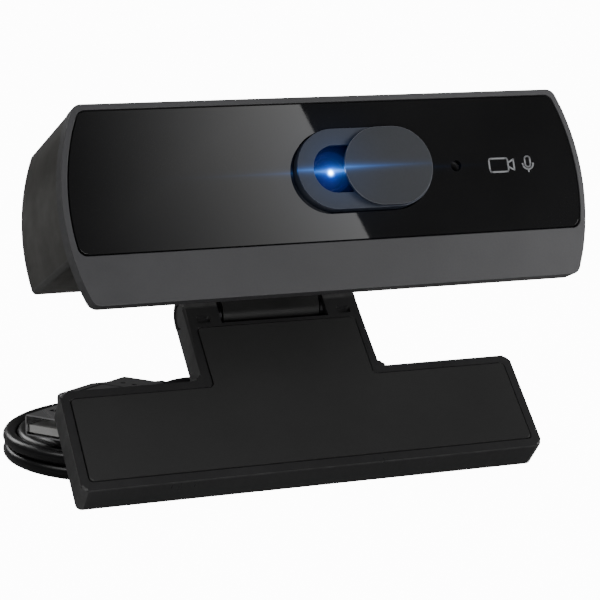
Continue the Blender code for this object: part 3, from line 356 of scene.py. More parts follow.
keep(moulded("print_grey", (0.42, 0.43, 0.45), 0.5, grain=5000, depth=0.000002))
keep(moulded("led", (0.10, 0.30, 1.0), 0.3, Emission_Color=STREAK_BLUE, Emission_Strength=4.0))


# ---- outlines, as lists of (across, up) ---------------------------------------------------------
def arc(centre, radius, start, end, segments):
    step = (end - start) / segments
    return [(centre[0] + radius * math.cos(start + i * step),
             centre[1] + radius * math.sin(start + i * step)) for i in range(segments + 1)]


def circle(centre, radius, segments=40):
    return arc(centre, radius, 0, 2 * math.pi, segments)[:-1]


def around(centre, half_width, half_height):
    x, z = centre
    return [(x - half_width, z - half_height), (x + half_width, z - half_height),
            (x + half_width, z + half_height), (x - half_width, z + half_height)]


def pill(left, right, height, radius, segments=36):
    quarter = math.pi / 2
    return (arc((right, height), radius, -quarter, quarter, segments)
            + arc((left, height), radius, quarter, 3 * quarter, segments))


def rounded(corners, segments=8):
    """Round each (x, z, radius) corner of a polygon with an arc."""
    outline = []
    for index, (x, z, radius) in enumerate(corners):
        here = Vector((x, z))
        if radius == 0:
            outline.append((x, z))
            continue
        before = (Vector(corners[index - 1][:2]) - here).normalized()
        after = (Vector(corners[(index + 1) % len(corners)][:2]) - here).normalized()
        half_angle = before.angle(after) / 2
        centre = here + (before + after).normalized() * radius / math.sin(half_angle)
        start = here + before * radius / math.tan(half_angle) - centre
        end = here + after * radius / math.tan(half_angle) - centre
        turn = start.angle_signed(end)
        for step in range(segments + 1):
            spun = start.copy()
            spun.rotate(Matrix.Rotation(-turn * step / segments, 2))
            outline.append(tuple(centre + spun))
    return outline


def rounded_box(centre, half_width, half_height, radius, segments=6):
    return rounded([(x, z, radius) for x, z in around(centre, half_width, half_height)], segments)


def bowed(bottom, top, inset, corner, segments=28):
    """The head's outline: straight top and bottom, bowed ends."""
    right = []
    for step in range(segments + 1):
        height = bottom + (top - bottom) * step / segments
        reach = BOW_CENTRE + math.sqrt((BOW_RADIUS - inset) ** 2
                                       - (height - HEAD_HEIGHT / 2) ** 2)
        right.append((reach, height, 0))
    low, high = right[0], right[-1]
    slim = [point for point in right if low[1] + corner * 1.6 < point[1] < high[1] - corner * 1.6]
    right = [(low[0], low[1], corner)] + slim + [(high[0], high[1], corner)]
    return rounded(right + [(-x, z, radius) for x, z, radius in reversed(right)])


def tee(inset, top, corner):
    """The leg's outline, up to a height called top, set in all round but there."""
    bar, neck = BAR_LENGTH / 2 - inset, NECK_WIDTH / 2 - inset
    foot, shoulder = -LEG_LENGTH + inset, -LEG_LENGTH + BAR_WIDTH - inset
    right = [(bar, foot, corner), (bar, shoulder, corner), (neck, shoulder, corner),
             (neck, top, corner if inset else 0)]
    return rounded(right + [(-x, z, radius) for x, z, radius in reversed(right)])


def window_outline(grow, segments=40):
    """Round on the left about the lens axis, and square on the right."""
    radius, right = WINDOW_RADIUS + grow, WINDOW_CUT + grow
    left = arc((0, LENS_HEIGHT), radius, math.pi / 2, 3 * math.pi / 2, segments)
    return left + [(right, LENS_HEIGHT - radius), (right, LENS_HEIGHT + radius)]


# ---- solids -------------------------------------------------------------------------------------
def linked(name, work, frame_matrix):
    bmesh.ops.recalc_face_normals(work, faces=work.faces)
    data = bpy.data.meshes.new(name)
    work.to_mesh(data)
    work.free()
    made = bpy.data.objects.new(name, data)
    bpy.context.collection.objects.link(made)
    made.matrix_world = frame_matrix
    return made


def prism(name, outlines, low, high, matrix, front=0.0, back=0.0, steps=3, upright=False):
    """Extrude outlines along Y, or along Z when upright, with rounded front and back rims."""
    work = bmesh.new()
    for outline in outlines:
        rims = []
        for level in (low, high):
            points = [(x, z, level) if upright else (x, level, z) for x, z in outline]
            rims.append([work.verts.new(point) for point in points])
        work.faces.new(rims[0])
        work.faces.new(rims[1])
        for index in range(len(outline)):
            following = (index + 1) % len(outline)
            work.faces.new((rims[0][index], rims[0][following], rims[1][following],
                            rims[1][index]))
        for rim, size in zip(rims, (front, back)):
            if size:
                edges = [work.edges.get((rim[i - 1], rim[i])) for i in range(len(rim))]
                bmesh.ops.bevel(work, geom=edges, offset=size, segments=steps, profile=0.5,
                                affect="EDGES")
    return linked(name, work, matrix)


def turned(name, profile, matrix, axis="Y", segments=40, centre=(0, 0, 0), hollow=False):
    """Spin (radius, along) points about a line along the named axis through centre."""
    work = bmesh.new()
    spun = []
    for radius, along in profile:
        ring = []
        for x, z in ([(0, 0)] if radius == 0 else circle((0, 0), radius, segments)):
            point = {"X": (along, x, z), "Y": (x, along, z), "Z": (x, z, along)}[axis]
            ring.append(work.verts.new(Vector(point) + Vector(centre)))
        spun.append(ring)
    pairs = zip(spun, spun[1:] + spun[:1]) if hollow else zip(spun, spun[1:])
    for first, second in pairs:
        for index in range(segments):
            following = (index + 1) % segments
            if len(first) == 1:
                corners = (first[0], second[index], second[following])
            elif len(second) == 1:
                corners = (first[index], first[following], second[0])
            else:
                corners = (first[index], first[following], second[following], second[index])
            work.faces.new(corners)
    for ring in () if hollow else (spun[0], spun[-1]):
        if len(ring) > 1:
            work.faces.new(ring)
    return linked(name, work, matrix)


def baked(target, rim=0.0, rim_steps=2):
    """Apply the modifiers, round the sharp edges that are left, and shade the result."""
    if rim:
        bevel = target.modifiers.new("rim", "BEVEL")
        bevel.width, bevel.segments = rim, rim_steps
        bevel.limit_method, bevel.angle_limit = "ANGLE", math.radians(30)
    bpy.context.view_layer.update()
    evaluated = target.evaluated_get(bpy.context.evaluated_depsgraph_get())
    data = bpy.data.meshes.new_from_object(evaluated)
    tools = [step.object for step in target.modifiers if step.type == "BOOLEAN"]
    target.modifiers.clear()
    target.data = data
    for tool in tools:
        bpy.data.objects.remove(tool, do_unlink=True)
    data.shade_smooth()
    data.set_sharp_from_angle(angle=math.radians(40))
    weighted = target.modifiers.new("flat_faces", "WEIGHTED_NORMAL")
    weighted.weight, weighted.keep_sharp = 100, True
    return target


def mark_edges(target, widest):
    """Give the narrow faces along rounded edges the value 1 in the attribute called edge."""
    data = target.data
    values = []
    for polygon in data.polygons:
        points = [data.vertices[i].co for i in polygon.vertices]
        lengths = [(points[i] - points[i - 1]).length for i in range(len(points))]
        narrow = len(points) <= 4 and polygon.area / max(max(lengths), 1e-9) < widest
        values.append(1.0 if narrow else 0.0)
    layer = data.attributes.new("edge", "FLOAT", "FACE")
    layer.data.foreach_set("value", values)
    return target


def boolean(target, tool, operation):
    tool.hide_render = True
    step = target.modifiers.new(tool.name, "BOOLEAN")
    step.object, step.operation, step.solver = tool, operation, "EXACT"


def cut(target, outlines, low, high, **options):
    boolean(target, prism("cutter", outlines, low, high, target.matrix_world.copy(), **options),
            "DIFFERENCE")


def add(target, outlines, low, high, **options):
    boolean(target, prism("guide", outlines, low, high, target.matrix_world.copy(), **options),
            "UNION")


def bore(target, profile, **options):
    boolean(target, turned("cutter", profile, target.matrix_world.copy(), **options),
            "DIFFERENCE")


def done(target, finish, body, nodes):
    """Paint a finished piece, hang it on its body and let it stand for its CAD nodes."""
    target.data.materials.clear()
    target.data.materials.append(MATERIALS[finish])
    if body:
        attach(target, body)
    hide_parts(*nodes)
    return target


def smooth_curve(points, steps=12):
    """Read a smooth curve through points, with straight ends, at short steps."""
    points = [Vector(point) for point in points]
    ends = [points[0] * 2 - points[1]] + points + [points[-1] * 2 - points[-2]]
    curve = []
    for first, start, end, last in zip(ends, ends[1:], ends[2:], ends[3:]):
        start_handle = start + (end - first) / 6
        end_handle = end - (last - start) / 6
        curve += geometry.interpolate_bezier(start, start_handle, end_handle, end, steps)[:-1]
    return curve + [points[-1]]


def spaced(points, gap):
    """Points at even spacing along a line, both ends kept."""
    travelled = [0.0]
    for before, after in zip(points, points[1:]):
        travelled.append(travelled[-1] + (after - before).length)
    count = max(2, round(travelled[-1] / gap))
    result, index = [], 0
    for step in range(count + 1):
        wanted = travelled[-1] * step / count
        while index < len(points) - 2 and travelled[index + 1] < wanted:
            index += 1
        span = travelled[index + 1] - travelled[index]
        share = 0 if span == 0 else (wanted - travelled[index]) / span
        result.append(points[index].lerp(points[index + 1], min(1.0, share)))
    return result


def hose(name, path, radius, sides=14):
    """A round tube through path, its rings carried along without twist."""
    work = bmesh.new()
    heading = (path[1] - path[0]).normalized()
    side = heading.orthogonal().normalized()
    spun = []
    for index, point in enumerate(path):
        near, far = path[max(0, index - 1)], path[min(len(path) - 1, index + 1)]
        turn = (far - near).normalized()
        side = (heading.rotation_difference(turn) @ side)
        side = (side - turn * side.dot(turn)).normalized()
        heading = turn
        other = heading.cross(side)
        spun.append([work.verts.new(point + side * x + other * z)
                     for x, z in circle((0, 0), radius, sides)])
    for first, second in zip(spun, spun[1:]):
        for index in range(sides):
            following = (index + 1) % sides
            work.faces.new((first[index], first[following], second[following], second[index]))
    work.faces.new(spun[0])
    work.faces.new(spun[-1])
    made = linked(name, work, Matrix.Identity(4))
    made.data.shade_smooth()
    made.data.set_sharp_from_angle(angle=math.radians(50))
    return made


# ---- cord, coil and plug ------------------------------------------------------------------------
DROP = [(0.0080, 0.0495, 0.0372), (0.0080, 0.0507, 0.0300), (0.0080, 0.0502, 0.0220),
        (0.0080, 0.0500, 0.0150), (0.0080, 0.0512, 0.0098), (0.0080, 0.0539, 0.0060)]
RUN = [(0.0078, 0.0586, 0.0030), (0.0062, 0.0632, 0.0017), (0.0015, 0.0658, 0.0015),
       (-0.0045, 0.0648, 0.0015), (-0.0100, 0.0621, 0.0018), (-0.0155, 0.0605, 0.0023)]
TAIL = [(-0.0046, 0.0196, 0.0052), (0.0000, 0.0236, 0.0040), (0.0030, 0.0290, 0.0028),
        (0.0044, 0.0350, 0.0026), (0.0031, 0.0417, 0.0046), (-0.0003, 0.0462, 0.0080),
        (-0.0053, 0.0488, 0.0106), (-0.0098, 0.0492, 0.0112), (-0.0136, 0.0483, 0.0112),
        (-0.0165, 0.0466, 0.0111)]
COIL_BASE = TIE_THICKNESS + GAP
JOG = 45                        # degrees over which the cord steps to the next turn
COIL_START, COIL_END = 90, 4260  # degrees, seen from above, turning left


def ease(share):
    share = min(1.0, max(0.0, share))
    return share * share * (3 - 2 * share)


def coil_points():
    """Turns laid outside to inside and back, layer on layer, each a diameter from the next."""
    pitch = 2 * CORD_RADIUS
    outer = COIL_RADIUS + (COIL_ACROSS - 1) * CORD_RADIUS
    jogs, angle = [], COIL_START - JOG
    for layer in range(COIL_LAYERS):
        inward = -1 if layer % 2 == 0 else 1
        for _ in range(COIL_ACROSS - 1):
            angle += 360
            jogs.append((angle, inward * pitch, 0.0))
        if layer < COIL_LAYERS - 1:
            angle += 360 - JOG
            jogs.append((angle, 0.0, pitch))
            angle -= JOG
    points = []
    for degrees in range(COIL_START, COIL_END + 1, 5):
        radius, height = outer, COIL_BASE + CORD_RADIUS
        for start, across, up in jogs:
            radius += across * ease((degrees - start) / JOG)
            height += up * ease((degrees - start) / JOG)
        turn = math.radians(degrees)
        points.append(Vector((COIL_CENTRE.x + radius * math.cos(turn),
                              COIL_CENTRE.y + radius * math.sin(turn), height)))
    return points


on_table = Matrix.Translation((0, 0, FLOOR))
exit_point = IN_HEAD @ Vector((CORD_EXIT[0], RELIEF_TIP + GAP, CORD_EXIT[1]))
leaving = (IN_HEAD.to_3x3() @ Vector((0, 1, 0))).normalized()
exit_on_table = on_table.inverted() @ exit_point
coil = coil_points()
lead = smooth_curve([exit_on_table, exit_on_table + leaving * 0.0040] + DROP + RUN + [coil[0]])
tail = smooth_curve([coil[-1]] + TAIL)
route = spaced([on_table @ point for point in lead + coil[1:] + tail[1:]], 0.0013)
cord = hose("usb_cord", route, CORD_RADIUS)
done(cord, "cord_rubber", None, ["cord_lead", "cord_run", "cord_coil", "cord_tail"])

# The plug, modelled with its mouth at the origin and its cord along +Y.
plug_low, plug_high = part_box("usb_overmold")
PLUG_HEIGHT = (plug_low.z + plug_high.z) / 2
PLUG_TIP = Vector((-0.0500, 0.0215, PLUG_HEIGHT))
IN_PLUG = Matrix.Translation(PLUG_TIP) @ Matrix.Rotation(PLUG_HEADING - math.pi / 2, 4, "Z")


def make_plug():
    start = SHELL_LENGTH + GAP
    end = start + OVERMOLD_LENGTH
    half, neck, flat = OVERMOLD_WIDTH / 2, OVERMOLD_NECK / 2, OVERMOLD_THICKNESS / 2
    right = [(half, start, 0.0012), (half, end - 0.0095, 0.0014), (neck, end - 0.0065, 0.0014),
             (neck, end, 0.0012)]
    outline = rounded(right + [(-x, y, radius) for x, y, radius in reversed(right)], 6)
    body = prism("usb_overmold_skin", [outline], -flat, flat, IN_PLUG, front=0.0009, back=0.0009,
                 steps=3, upright=True)
    tray_middle = (0, start + 0.0078)
    for side in (-1, 1):
        tray = rounded_box(tray_middle, 0.0052, 0.0052, 0.0010)
        island_on_it = rounded_box(tray_middle, 0.0048, 0.0048, 0.0008)
        levels = sorted((side * (flat - 0.00025), side * (flat + 0.0010)))
        cut(body, [tray], *levels, upright=True)
        levels = sorted((side * (flat - 0.0006), side * (flat - 0.00008)))
        add(body, [island_on_it], *levels, upright=True)
        dots = [circle((x, start + 0.0160), 0.0006, 16) for x in (-0.0016, 0.0016)]
        levels = sorted((side * (flat - 0.0003), side * (flat + 0.0010)))
        cut(body, dots, *levels, upright=True)
    for rib in range(3):
        along = end - 0.0052 + rib * 0.0016
        cut(body, [around((side * (neck + 0.0001), along), 0.0004, 0.0004)
                   for side in (-1, 1)], -flat * 2, flat * 2, upright=True)
    baked(body, 0.00012)
    mark_edges(body, 0.0002)
    done(body, "plug_plastic", "leg", ["usb_overmold"])

    near = end + GAP
    profile = [(0, near), (BOOT_RADIUS - 0.0003, near), (BOOT_RADIUS, near + 0.0003)]
    ribs = 5
    for rib in range(ribs):
        ahead_of = near + 0.0003 + (BOOT_LENGTH - 0.0006) * (rib + 0.62) / ribs
        behind = near + 0.0003 + (BOOT_LENGTH - 0.0006) * (rib + 0.72) / ribs
        last = near + 0.0003 + (BOOT_LENGTH - 0.0006) * (rib + 1) / ribs
        radius = BOOT_RADIUS - 0.0009 * (rib + 0.5) / ribs
        profile += [(radius, ahead_of), (radius - 0.0006, behind), (radius - 0.0006, last - 0.0001),
                    (radius - 0.0002, last)]
    profile += [(CORD_RADIUS + 0.0002, near + BOOT_LENGTH), (0, near + BOOT_LENGTH)]
    boot = turned("usb_boot_skin", profile, IN_PLUG, segments=32)
    baked(boot)
    done(boot, "cord_rubber", "leg", ["usb_boot"])
    return [body, boot]


plug_pieces = make_plug()
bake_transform(cord)


# ---- head ---------------------------------------------------------------------------------------
def island_outline(grow):
    return pill(0, ISLAND_STRETCH, LENS_HEIGHT, ISLAND_RADIUS + grow)


def panel_outline(grow, corner=0.0020):
    return bowed(PANEL_BOTTOM_MARGIN - grow, PANEL_TOP + grow, PANEL_SIDE_MARGIN - grow, corner)


def microphone_port():
    return circle((MICROPHONE_OFFSET, LENS_HEIGHT), MICROPHONE_HOLE)


def make_bezel():
    bezel = prism("bezel_shell", [bowed(0, HEAD_HEIGHT, 0, BEZEL_CORNER)], 0, BEZEL_THICKNESS,
                  IN_HEAD, front=0.0007, back=0.0003, steps=4)
    cut(bezel, [panel_outline(GAP)], -0.0010, 0.0022)
    cut(bezel, [island_outline(GAP), microphone_port()], 0, BEZEL_THICKNESS + 0.0010)
    baked(bezel, 0.00012)
    mark_edges(bezel, 0.00035)
    done(bezel, "bezel_plastic", "head", ["front_bezel"])


def make_panel():
    panel_piece = prism("glossy_panel", [panel_outline(0)], PANEL_SET_BACK,
                        PANEL_SET_BACK + PANEL_THICKNESS, IN_HEAD, front=0.0002, steps=3)
    cut(panel_piece, [island_outline(GAP), microphone_port()], -0.0010, 0.0030)
    baked(panel_piece, 0.00010, 3)
    done(panel_piece, "panel_acrylic", "head", ["front_panel"])


def make_island():
    back = BEZEL_THICKNESS + GAP
    shell = prism("island_shell", [island_outline(0)], -ISLAND_RISE, back + 0.0012, IN_HEAD,
                  front=0.0004, steps=4)
    inner_face = -ISLAND_RISE + ISLAND_WALL
    cut(shell, [island_outline(-ISLAND_WALL)], inner_face, back + 0.0020)
    cut(shell, [window_outline(0)], -2 * ISLAND_RISE, 0)
    rest = COVER_REST + COVER_STEM_OFFSET
    wide, tall = STEM_HALF
    slot = around((rest - COVER_TRAVEL / 2, LENS_HEIGHT), COVER_TRAVEL / 2 + wide + GAP,
                  tall + GAP)
    cut(shell, [slot], -2 * ISLAND_RISE, 0)
    baked(shell, 0.00014)
    mark_edges(shell, 0.0002)
    done(shell, "island_plastic", "head", ["lens_island"])
    front = inner_face + GAP
    glass = prism("window_glass", [window_outline(WINDOW_GLASS_LAP)], front,
                  front + WINDOW_GLASS_THICKNESS, IN_HEAD, front=0.0001, back=0.0001, steps=2)
    baked(glass)
    done(glass, "lens_window_glass", "head", ["lens_window"])


def make_cover():
    """The sliding cover: a soft-edged disc on its stem."""
    back = -ISLAND_RISE - GAP
    front = back - COVER_THICKNESS
    disc = prism("cover_disc", [pill(COVER_REST - COVER_STRETCH / 2, COVER_REST + COVER_STRETCH / 2,
                                     LENS_HEIGHT, COVER_RADIUS)],
                 front, back, IN_HEAD, front=0.00025, steps=3)
    stem_x = COVER_REST + COVER_STEM_OFFSET
    add(disc, [around((stem_x, LENS_HEIGHT), *STEM_HALF)], back - 0.0004,
        -ISLAND_RISE + ISLAND_WALL + 2 * GAP)
    baked(disc, 0.0001)
    mark_edges(disc, 0.00018)
    done(disc, "cover_plastic", "cover", ["privacy_cover"])


def make_lens():
    centre = (0, 0, LENS_HEIGHT)
    front, back = LENS_BARREL_FRONT, LENS_BARREL_FRONT + LENS_BARREL_LENGTH
    seat = LENS_RADIUS + GAP
    profile = [(LENS_BARREL_RADIUS, front + 0.0002), (LENS_BARREL_RADIUS, back), (0.0024, back),
               (0.0024, front + 0.0036), (seat, front + 0.0036)]
    for thread in range(5):
        along = front + 0.0034 - thread * 0.00045
        profile += [(seat, along), (seat + 0.00018, along - 0.0001),
                    (seat + 0.00018, along - 0.0003)]
    profile += [(seat + 0.0004, front + 0.0006), (seat + 0.0006, front), (0.0040, front)]
    tube_piece = turned("barrel_shell", profile, IN_HEAD, centre=centre, segments=56, hollow=True)
    baked(tube_piece)
    done(tube_piece, "barrel_plastic", "head", ["lens_barrel"])
    profile = [(0, front + 0.0005)]
    for step in range(1, 13):
        out = step / 12
        profile.append((LENS_RADIUS * out, front + 0.0005 + 0.0012 * out ** 2.4))
    profile += [(LENS_RADIUS, front + 0.0033), (0, front + 0.0033)]
    dome = turned("front_lens_dome", profile, IN_HEAD, centre=centre, segments=56)
    baked(dome)
    done(dome, "lens_glass", "head", ["front_lens"])


def make_housing():
    front = BEZEL_THICKNESS + GAP
    top = HEAD_HEIGHT - HOUSING_INSET
    shell = prism("housing_shell", [bowed(LIP_HEIGHT, top, HOUSING_INSET, HOUSING_CORNER)],
                  front, HEAD_DEPTH, IN_HEAD, back=HOUSING_EDGE, steps=2)
    wall = HOUSING_WALL
    cut(shell, [bowed(LIP_HEIGHT + wall, top - wall, HOUSING_INSET + wall,
                 HOUSING_INNER_CORNER)],
        0, HEAD_DEPTH - wall)
    cut(shell, [circle(CORD_EXIT, RELIEF_NECK + GAP)], HEAD_DEPTH - wall - GAP, HEAD_DEPTH + GAP)
    # A shallow frame line and a row of vents in the back wall.
    margin = 0.0030
    low, high = LIP_HEIGHT + margin, top - margin
    outer = bowed(low, high, 0.0034, 0.0024)
    inner = bowed(low + 0.0004, high - 0.0004, 0.0038, 0.0020)
    ring = prism("cutter", [outer], HEAD_DEPTH - 0.00025, HEAD_DEPTH + 0.0010, IN_HEAD)
    step = ring.modifiers.new("inner", "BOOLEAN")
    step.object = prism("cutter_inner", [inner], HEAD_DEPTH - 0.0010, HEAD_DEPTH + 0.0020, IN_HEAD)
    step.operation, step.solver = "DIFFERENCE", "EXACT"
    baked(ring)
    boolean(shell, ring, "DIFFERENCE")
    vents = [rounded_box((-0.0400 + 0.0022 * index, LENS_HEIGHT), 0.0005, 0.0048, 0.00049, 5)
             for index in range(8)]
    cut(shell, vents, HEAD_DEPTH - 0.0009, HEAD_DEPTH + 0.0010)
    baked(shell, 0.00012)
    mark_edges(shell, 0.00035)
    done(shell, "housing_plastic", "head", ["rear_housing"])


def make_relief():
    """The moulded boot: a flange, then a taper with flexing grooves."""
    outside = HEAD_DEPTH + GAP
    inside = HEAD_DEPTH - HOUSING_WALL - GAP
    flange, thin, wide = 0.0044, CORD_RADIUS + 0.0006, 0.0034
    shoulder = outside + 0.0012
    profile = [(0, inside - 0.0012), (flange, inside - 0.0012), (flange, inside),
               (RELIEF_NECK, inside), (RELIEF_NECK, outside), (flange - 0.0002, outside),
               (flange, outside + 0.0002), (flange, shoulder - 0.0003), (flange - 0.0003, shoulder),
               (wide, shoulder + 0.0001)]
    rings_of = 8
    for ring in range(rings_of):
        def radius(share):
            return wide + (thin - wide) * share
        begin = shoulder + 0.0006 + (RELIEF_TIP - shoulder - 0.0022) * ring / rings_of
        length = (RELIEF_TIP - shoulder - 0.0022) / rings_of
        share = ring / rings_of
        profile += [(radius(share), begin), (radius(share), begin + length * 0.55),
                    (radius(share) - 0.00012, begin + length * 0.62),
                    (radius(share) - 0.0006, begin + length * 0.68),
                    (radius(share) - 0.0006, begin + length * 0.92)]
    profile += [(thin, RELIEF_TIP - 0.0014), (thin, RELIEF_TIP - 0.0003),
                (thin - 0.0003, RELIEF_TIP), (0, RELIEF_TIP)]
    relief = turned("relief_boot", profile, IN_HEAD, centre=(CORD_EXIT[0], 0, CORD_EXIT[1]))
    baked(relief)
    done(relief, "cord_rubber", "head", ["strain_relief"])


def slab(name, outline, low, high):
    """Extrude (depth, height) points along X, in the head's axes."""
    work = bmesh.new()
    rims = [[work.verts.new((x, depth, height)) for depth, height in outline]
            for x in (low, high)]
    for rim in rims:
        work.faces.new(rim)
    for index in range(len(outline)):
        following = (index + 1) % len(outline)
        work.faces.new((rims[0][index], rims[0][following], rims[1][following], rims[1][index]))
    return linked(name, work, IN_HEAD)


def make_hinge_arm():
    """The gooseneck from the housing's back down to the hinge barrel, with a pocket each side."""
    front = HEAD_DEPTH + GAP
    axis = (HINGE_DEPTH, HINGE_HEIGHT)
    side = [(front, LIP_HEIGHT + 0.0020), (axis[0] - 0.0057, LIP_HEIGHT + 0.0008),
            (axis[0] - HALF_LEG, axis[1] + 0.0036)]
    side += arc(axis, HALF_LEG, math.pi, 2 * math.pi, 40)
    side += [(axis[0] + HALF_LEG, axis[1] + 0.0046), (axis[0] - 0.0015, ARM_TOP - 0.0020),
             (axis[0] - 0.0060, ARM_TOP), (front, ARM_TOP)]
    arm = slab("gooseneck", side, -ARM_HALF_WIDTH, ARM_HALF_WIDTH)
    bore(arm, [(PIN_RADIUS + GAP, -HEAD_WIDTH / 4), (PIN_RADIUS + GAP, HEAD_WIDTH / 4)], axis="X",
         centre=(0, *axis))
    pocket = rounded_box((axis[0] - 0.0046, ARM_TOP - 0.0026), 0.0030, 0.0013, 0.0008)
    for sign in (-1, 1):
        low, high = sorted((sign * (ARM_HALF_WIDTH - 0.0003), sign * (ARM_HALF_WIDTH + 0.0010)))
        boolean(arm, slab("cutter", pocket, low, high), "DIFFERENCE")
    baked(arm, 0.0004, 3)
    mark_edges(arm, 0.0003)
    done(arm, "black_plastic", "head", ["hinge_arm"])


def stroke(work, points, width, closed=False):
    """A flat line of the given width through (across, up) points, facing the head's front."""
    ring = points + points[:1] if closed else points
    for (x, z), (far_x, far_z) in zip(ring, ring[1:]):
        run = Vector((far_x - x, far_z - z))
        side = Vector((-run.y, run.x)).normalized() * width / 2
        lap = run.normalized() * width * 0.3
        corners = [(x - lap.x + side.x, z - lap.y + side.y),
                   (far_x + lap.x + side.x, far_z + lap.y + side.y),
                   (far_x + lap.x - side.x, far_z + lap.y - side.y),
                   (x - lap.x - side.x, z - lap.y - side.y)]
        work.faces.new([work.verts.new((across, PANEL_SET_BACK - MARK_LIFT, up))
                        for across, up in corners])


MARK_LIFT = 0.00003
MARK_LINE = 0.00034


def make_mark():
    """Printed pictograms right of the microphone hole: a film camera and a microphone."""
    work = bmesh.new()
    x, z = 0.0363, LENS_HEIGHT - 0.0003
    stroke(work, rounded_box((x, z), 0.0021, 0.0014, 0.0005, 4), MARK_LINE, closed=True)
    stroke(work, [(x + 0.0021, z + 0.0004), (x + 0.0034, z + 0.0011), (x + 0.0034, z - 0.0011),
                  (x + 0.0021, z - 0.0004)], MARK_LINE)
    x += 0.0066
    stroke(work, rounded_box((x, z + 0.0005), 0.0006, 0.0011, 0.00059, 5), MARK_LINE, closed=True)
    stroke(work, arc((x, z + 0.0001), 0.0012, math.pi, 2 * math.pi, 10), MARK_LINE)
    stroke(work, [(x, z - 0.0011), (x, z - 0.0016)], MARK_LINE)
    mark = linked("printed_mark", work, IN_HEAD)
    done(mark, "print_grey", "head", [])


# ---- leg ----------------------------------------------------------------------------------------
LEG_SCREWS = [(side * across, height)
              for across, height in ((BAR_LENGTH / 2 - 0.0057, -LEG_LENGTH + BAR_WIDTH / 2),
                                     (0.0150, -LEG_LENGTH + BAR_WIDTH / 2),
                                     (NECK_WIDTH / 2 - 0.0060, -0.0129)) for side in (-1, 1)]


def make_leg():
    leg = prism("leg_shell", [tee(0, 0, LEG_CORNER)], -HALF_LEG, HALF_LEG, IN_LEG, front=0.0006,
                back=0.0006, steps=4)
    half = NECK_WIDTH / 2
    knuckle = [(HALF_LEG - 0.0004, -half), (HALF_LEG, -half + 0.0004), (HALF_LEG, half - 0.0004),
               (HALF_LEG - 0.0004, half)]
    boolean(leg, turned("guide", knuckle, IN_LEG, axis="X", segments=72), "UNION")
    slot_floor = -HALF_LEG - 0.0010
    cut(leg, [[(-SLOT_HALF_WIDTH, slot_floor), (SLOT_HALF_WIDTH, slot_floor),
               (SLOT_HALF_WIDTH, LEG_THICKNESS), (-SLOT_HALF_WIDTH, LEG_THICKNESS)]],
        -LEG_THICKNESS, LEG_THICKNESS)
    bore(leg, [(PIN_RADIUS + GAP, -half - GAP), (PIN_RADIUS + GAP, half + GAP)], axis="X")
    seat = half - PIN_CAP_DEPTH
    for side in (-1, 1):
        bore(leg, [(PIN_CAP_RADIUS + GAP, side * seat), (PIN_CAP_RADIUS + GAP, side * (half + GAP))],
             axis="X")
    cut(leg, [tee(PAD_MARGIN - GAP, -PAD_TOP + GAP, 0.0010)], -LEG_THICKNESS,
        -HALF_LEG + PAD_THICKNESS - PAD_PROUD + GAP)
    width, height, depth = KNUCKLE_POCKET
    cut(leg, [rounded_box((side * KNUCKLE_POCKET_OFFSET[0], -KNUCKLE_POCKET_OFFSET[1]), width / 2,
                          height / 2, 0.0003) for side in (-1, 1)], -LEG_THICKNESS,
        -HALF_LEG + depth)
    cut(leg, [tee(BACK_COVER_MARGIN, BACK_COVER_TOP + GAP, 0.0008)],
        HALF_LEG - BACK_COVER_THICKNESS - GAP, LEG_THICKNESS)
    baked(leg, 0.00014)
    mark_edges(leg, 0.0004)
    done(leg, "leg_plastic", "leg", ["leg_frame"])

    pad = prism("pad_sheet", [tee(PAD_MARGIN, -PAD_TOP, 0.0008)], PAD_FACE,
                PAD_FACE + PAD_THICKNESS, IN_LEG, front=0.0002, steps=4)
    baked(pad)
    mark_edges(pad, 0.00015)
    done(pad, "pad_rubber", "leg", ["leg_pad"])

    plate = prism("back_plate", [tee(BACK_COVER_MARGIN + GAP, BACK_COVER_TOP, 0.0006)],
                  HALF_LEG - BACK_COVER_THICKNESS, HALF_LEG, IN_LEG, back=0.0003)
    cut(plate, [circle(spot, SCREW_HOLE) for spot in LEG_SCREWS], 0, LEG_THICKNESS)
    cut(plate, [circle(spot, COUNTERBORE) for spot in LEG_SCREWS],
        HALF_LEG - SCREW_HEAD_HEIGHT - GAP - 0.0001, LEG_THICKNESS)
    tray = rounded_box((0, -LEG_LENGTH + BAR_WIDTH / 2), 0.0105, 0.0050, 0.0012)
    cut(plate, [tray], HALF_LEG - 0.0002, LEG_THICKNESS)
    baked(plate, 0.0001)
    mark_edges(plate, 0.0003)
    done(plate, "leg_plastic", "leg", ["leg_back_cover"])


for build in (make_bezel, make_panel, make_mark, make_island, make_cover, make_lens, make_housing,
              make_relief, make_hinge_arm, make_leg):
    build()

# ---- CAD nodes that stay, with their finish -----------------------------------------------------
KEPT = {"lip_pad": "lip_rubber", "panel_tape": "tape", "infrared_filter": "lens_glass",
        "rear_lens": "lens_glass", "image_sensor": "chip", "main_board": "board",
        "processor": "chip", "microphone": "steel", "microphone_gasket": "pad_rubber",
        "status_led": "led", "cable_socket": "white_plastic", "inner_lead": "cord_rubber",
        "lens_holder": "black_plastic", "cover_clip": "black_plastic",
        "board_screw_left": "steel", "board_screw_right": "steel", "arm_screw_left": "steel",
        "arm_screw_right": "steel", "hinge_pin": "steel", "friction_washer_left": "black_steel",
        "friction_washer_right": "black_steel", "pin_cap_left": "leg_plastic",
        "pin_cap_right": "leg_plastic", "coil_tie": "black_plastic", "usb_shell": "nickel",
        "usb_tongue": "white_plastic"}
KEPT.update({f"housing_screw_{index}": "steel" for index in range(1, 5)})
KEPT.update({f"leg_screw_{index}": "black_steel" for index in range(1, 7)})
for node, finish in KEPT.items():
    for slot_of_node in NODES[node].material_slots:
        slot_of_node.material = MATERIALS[finish]


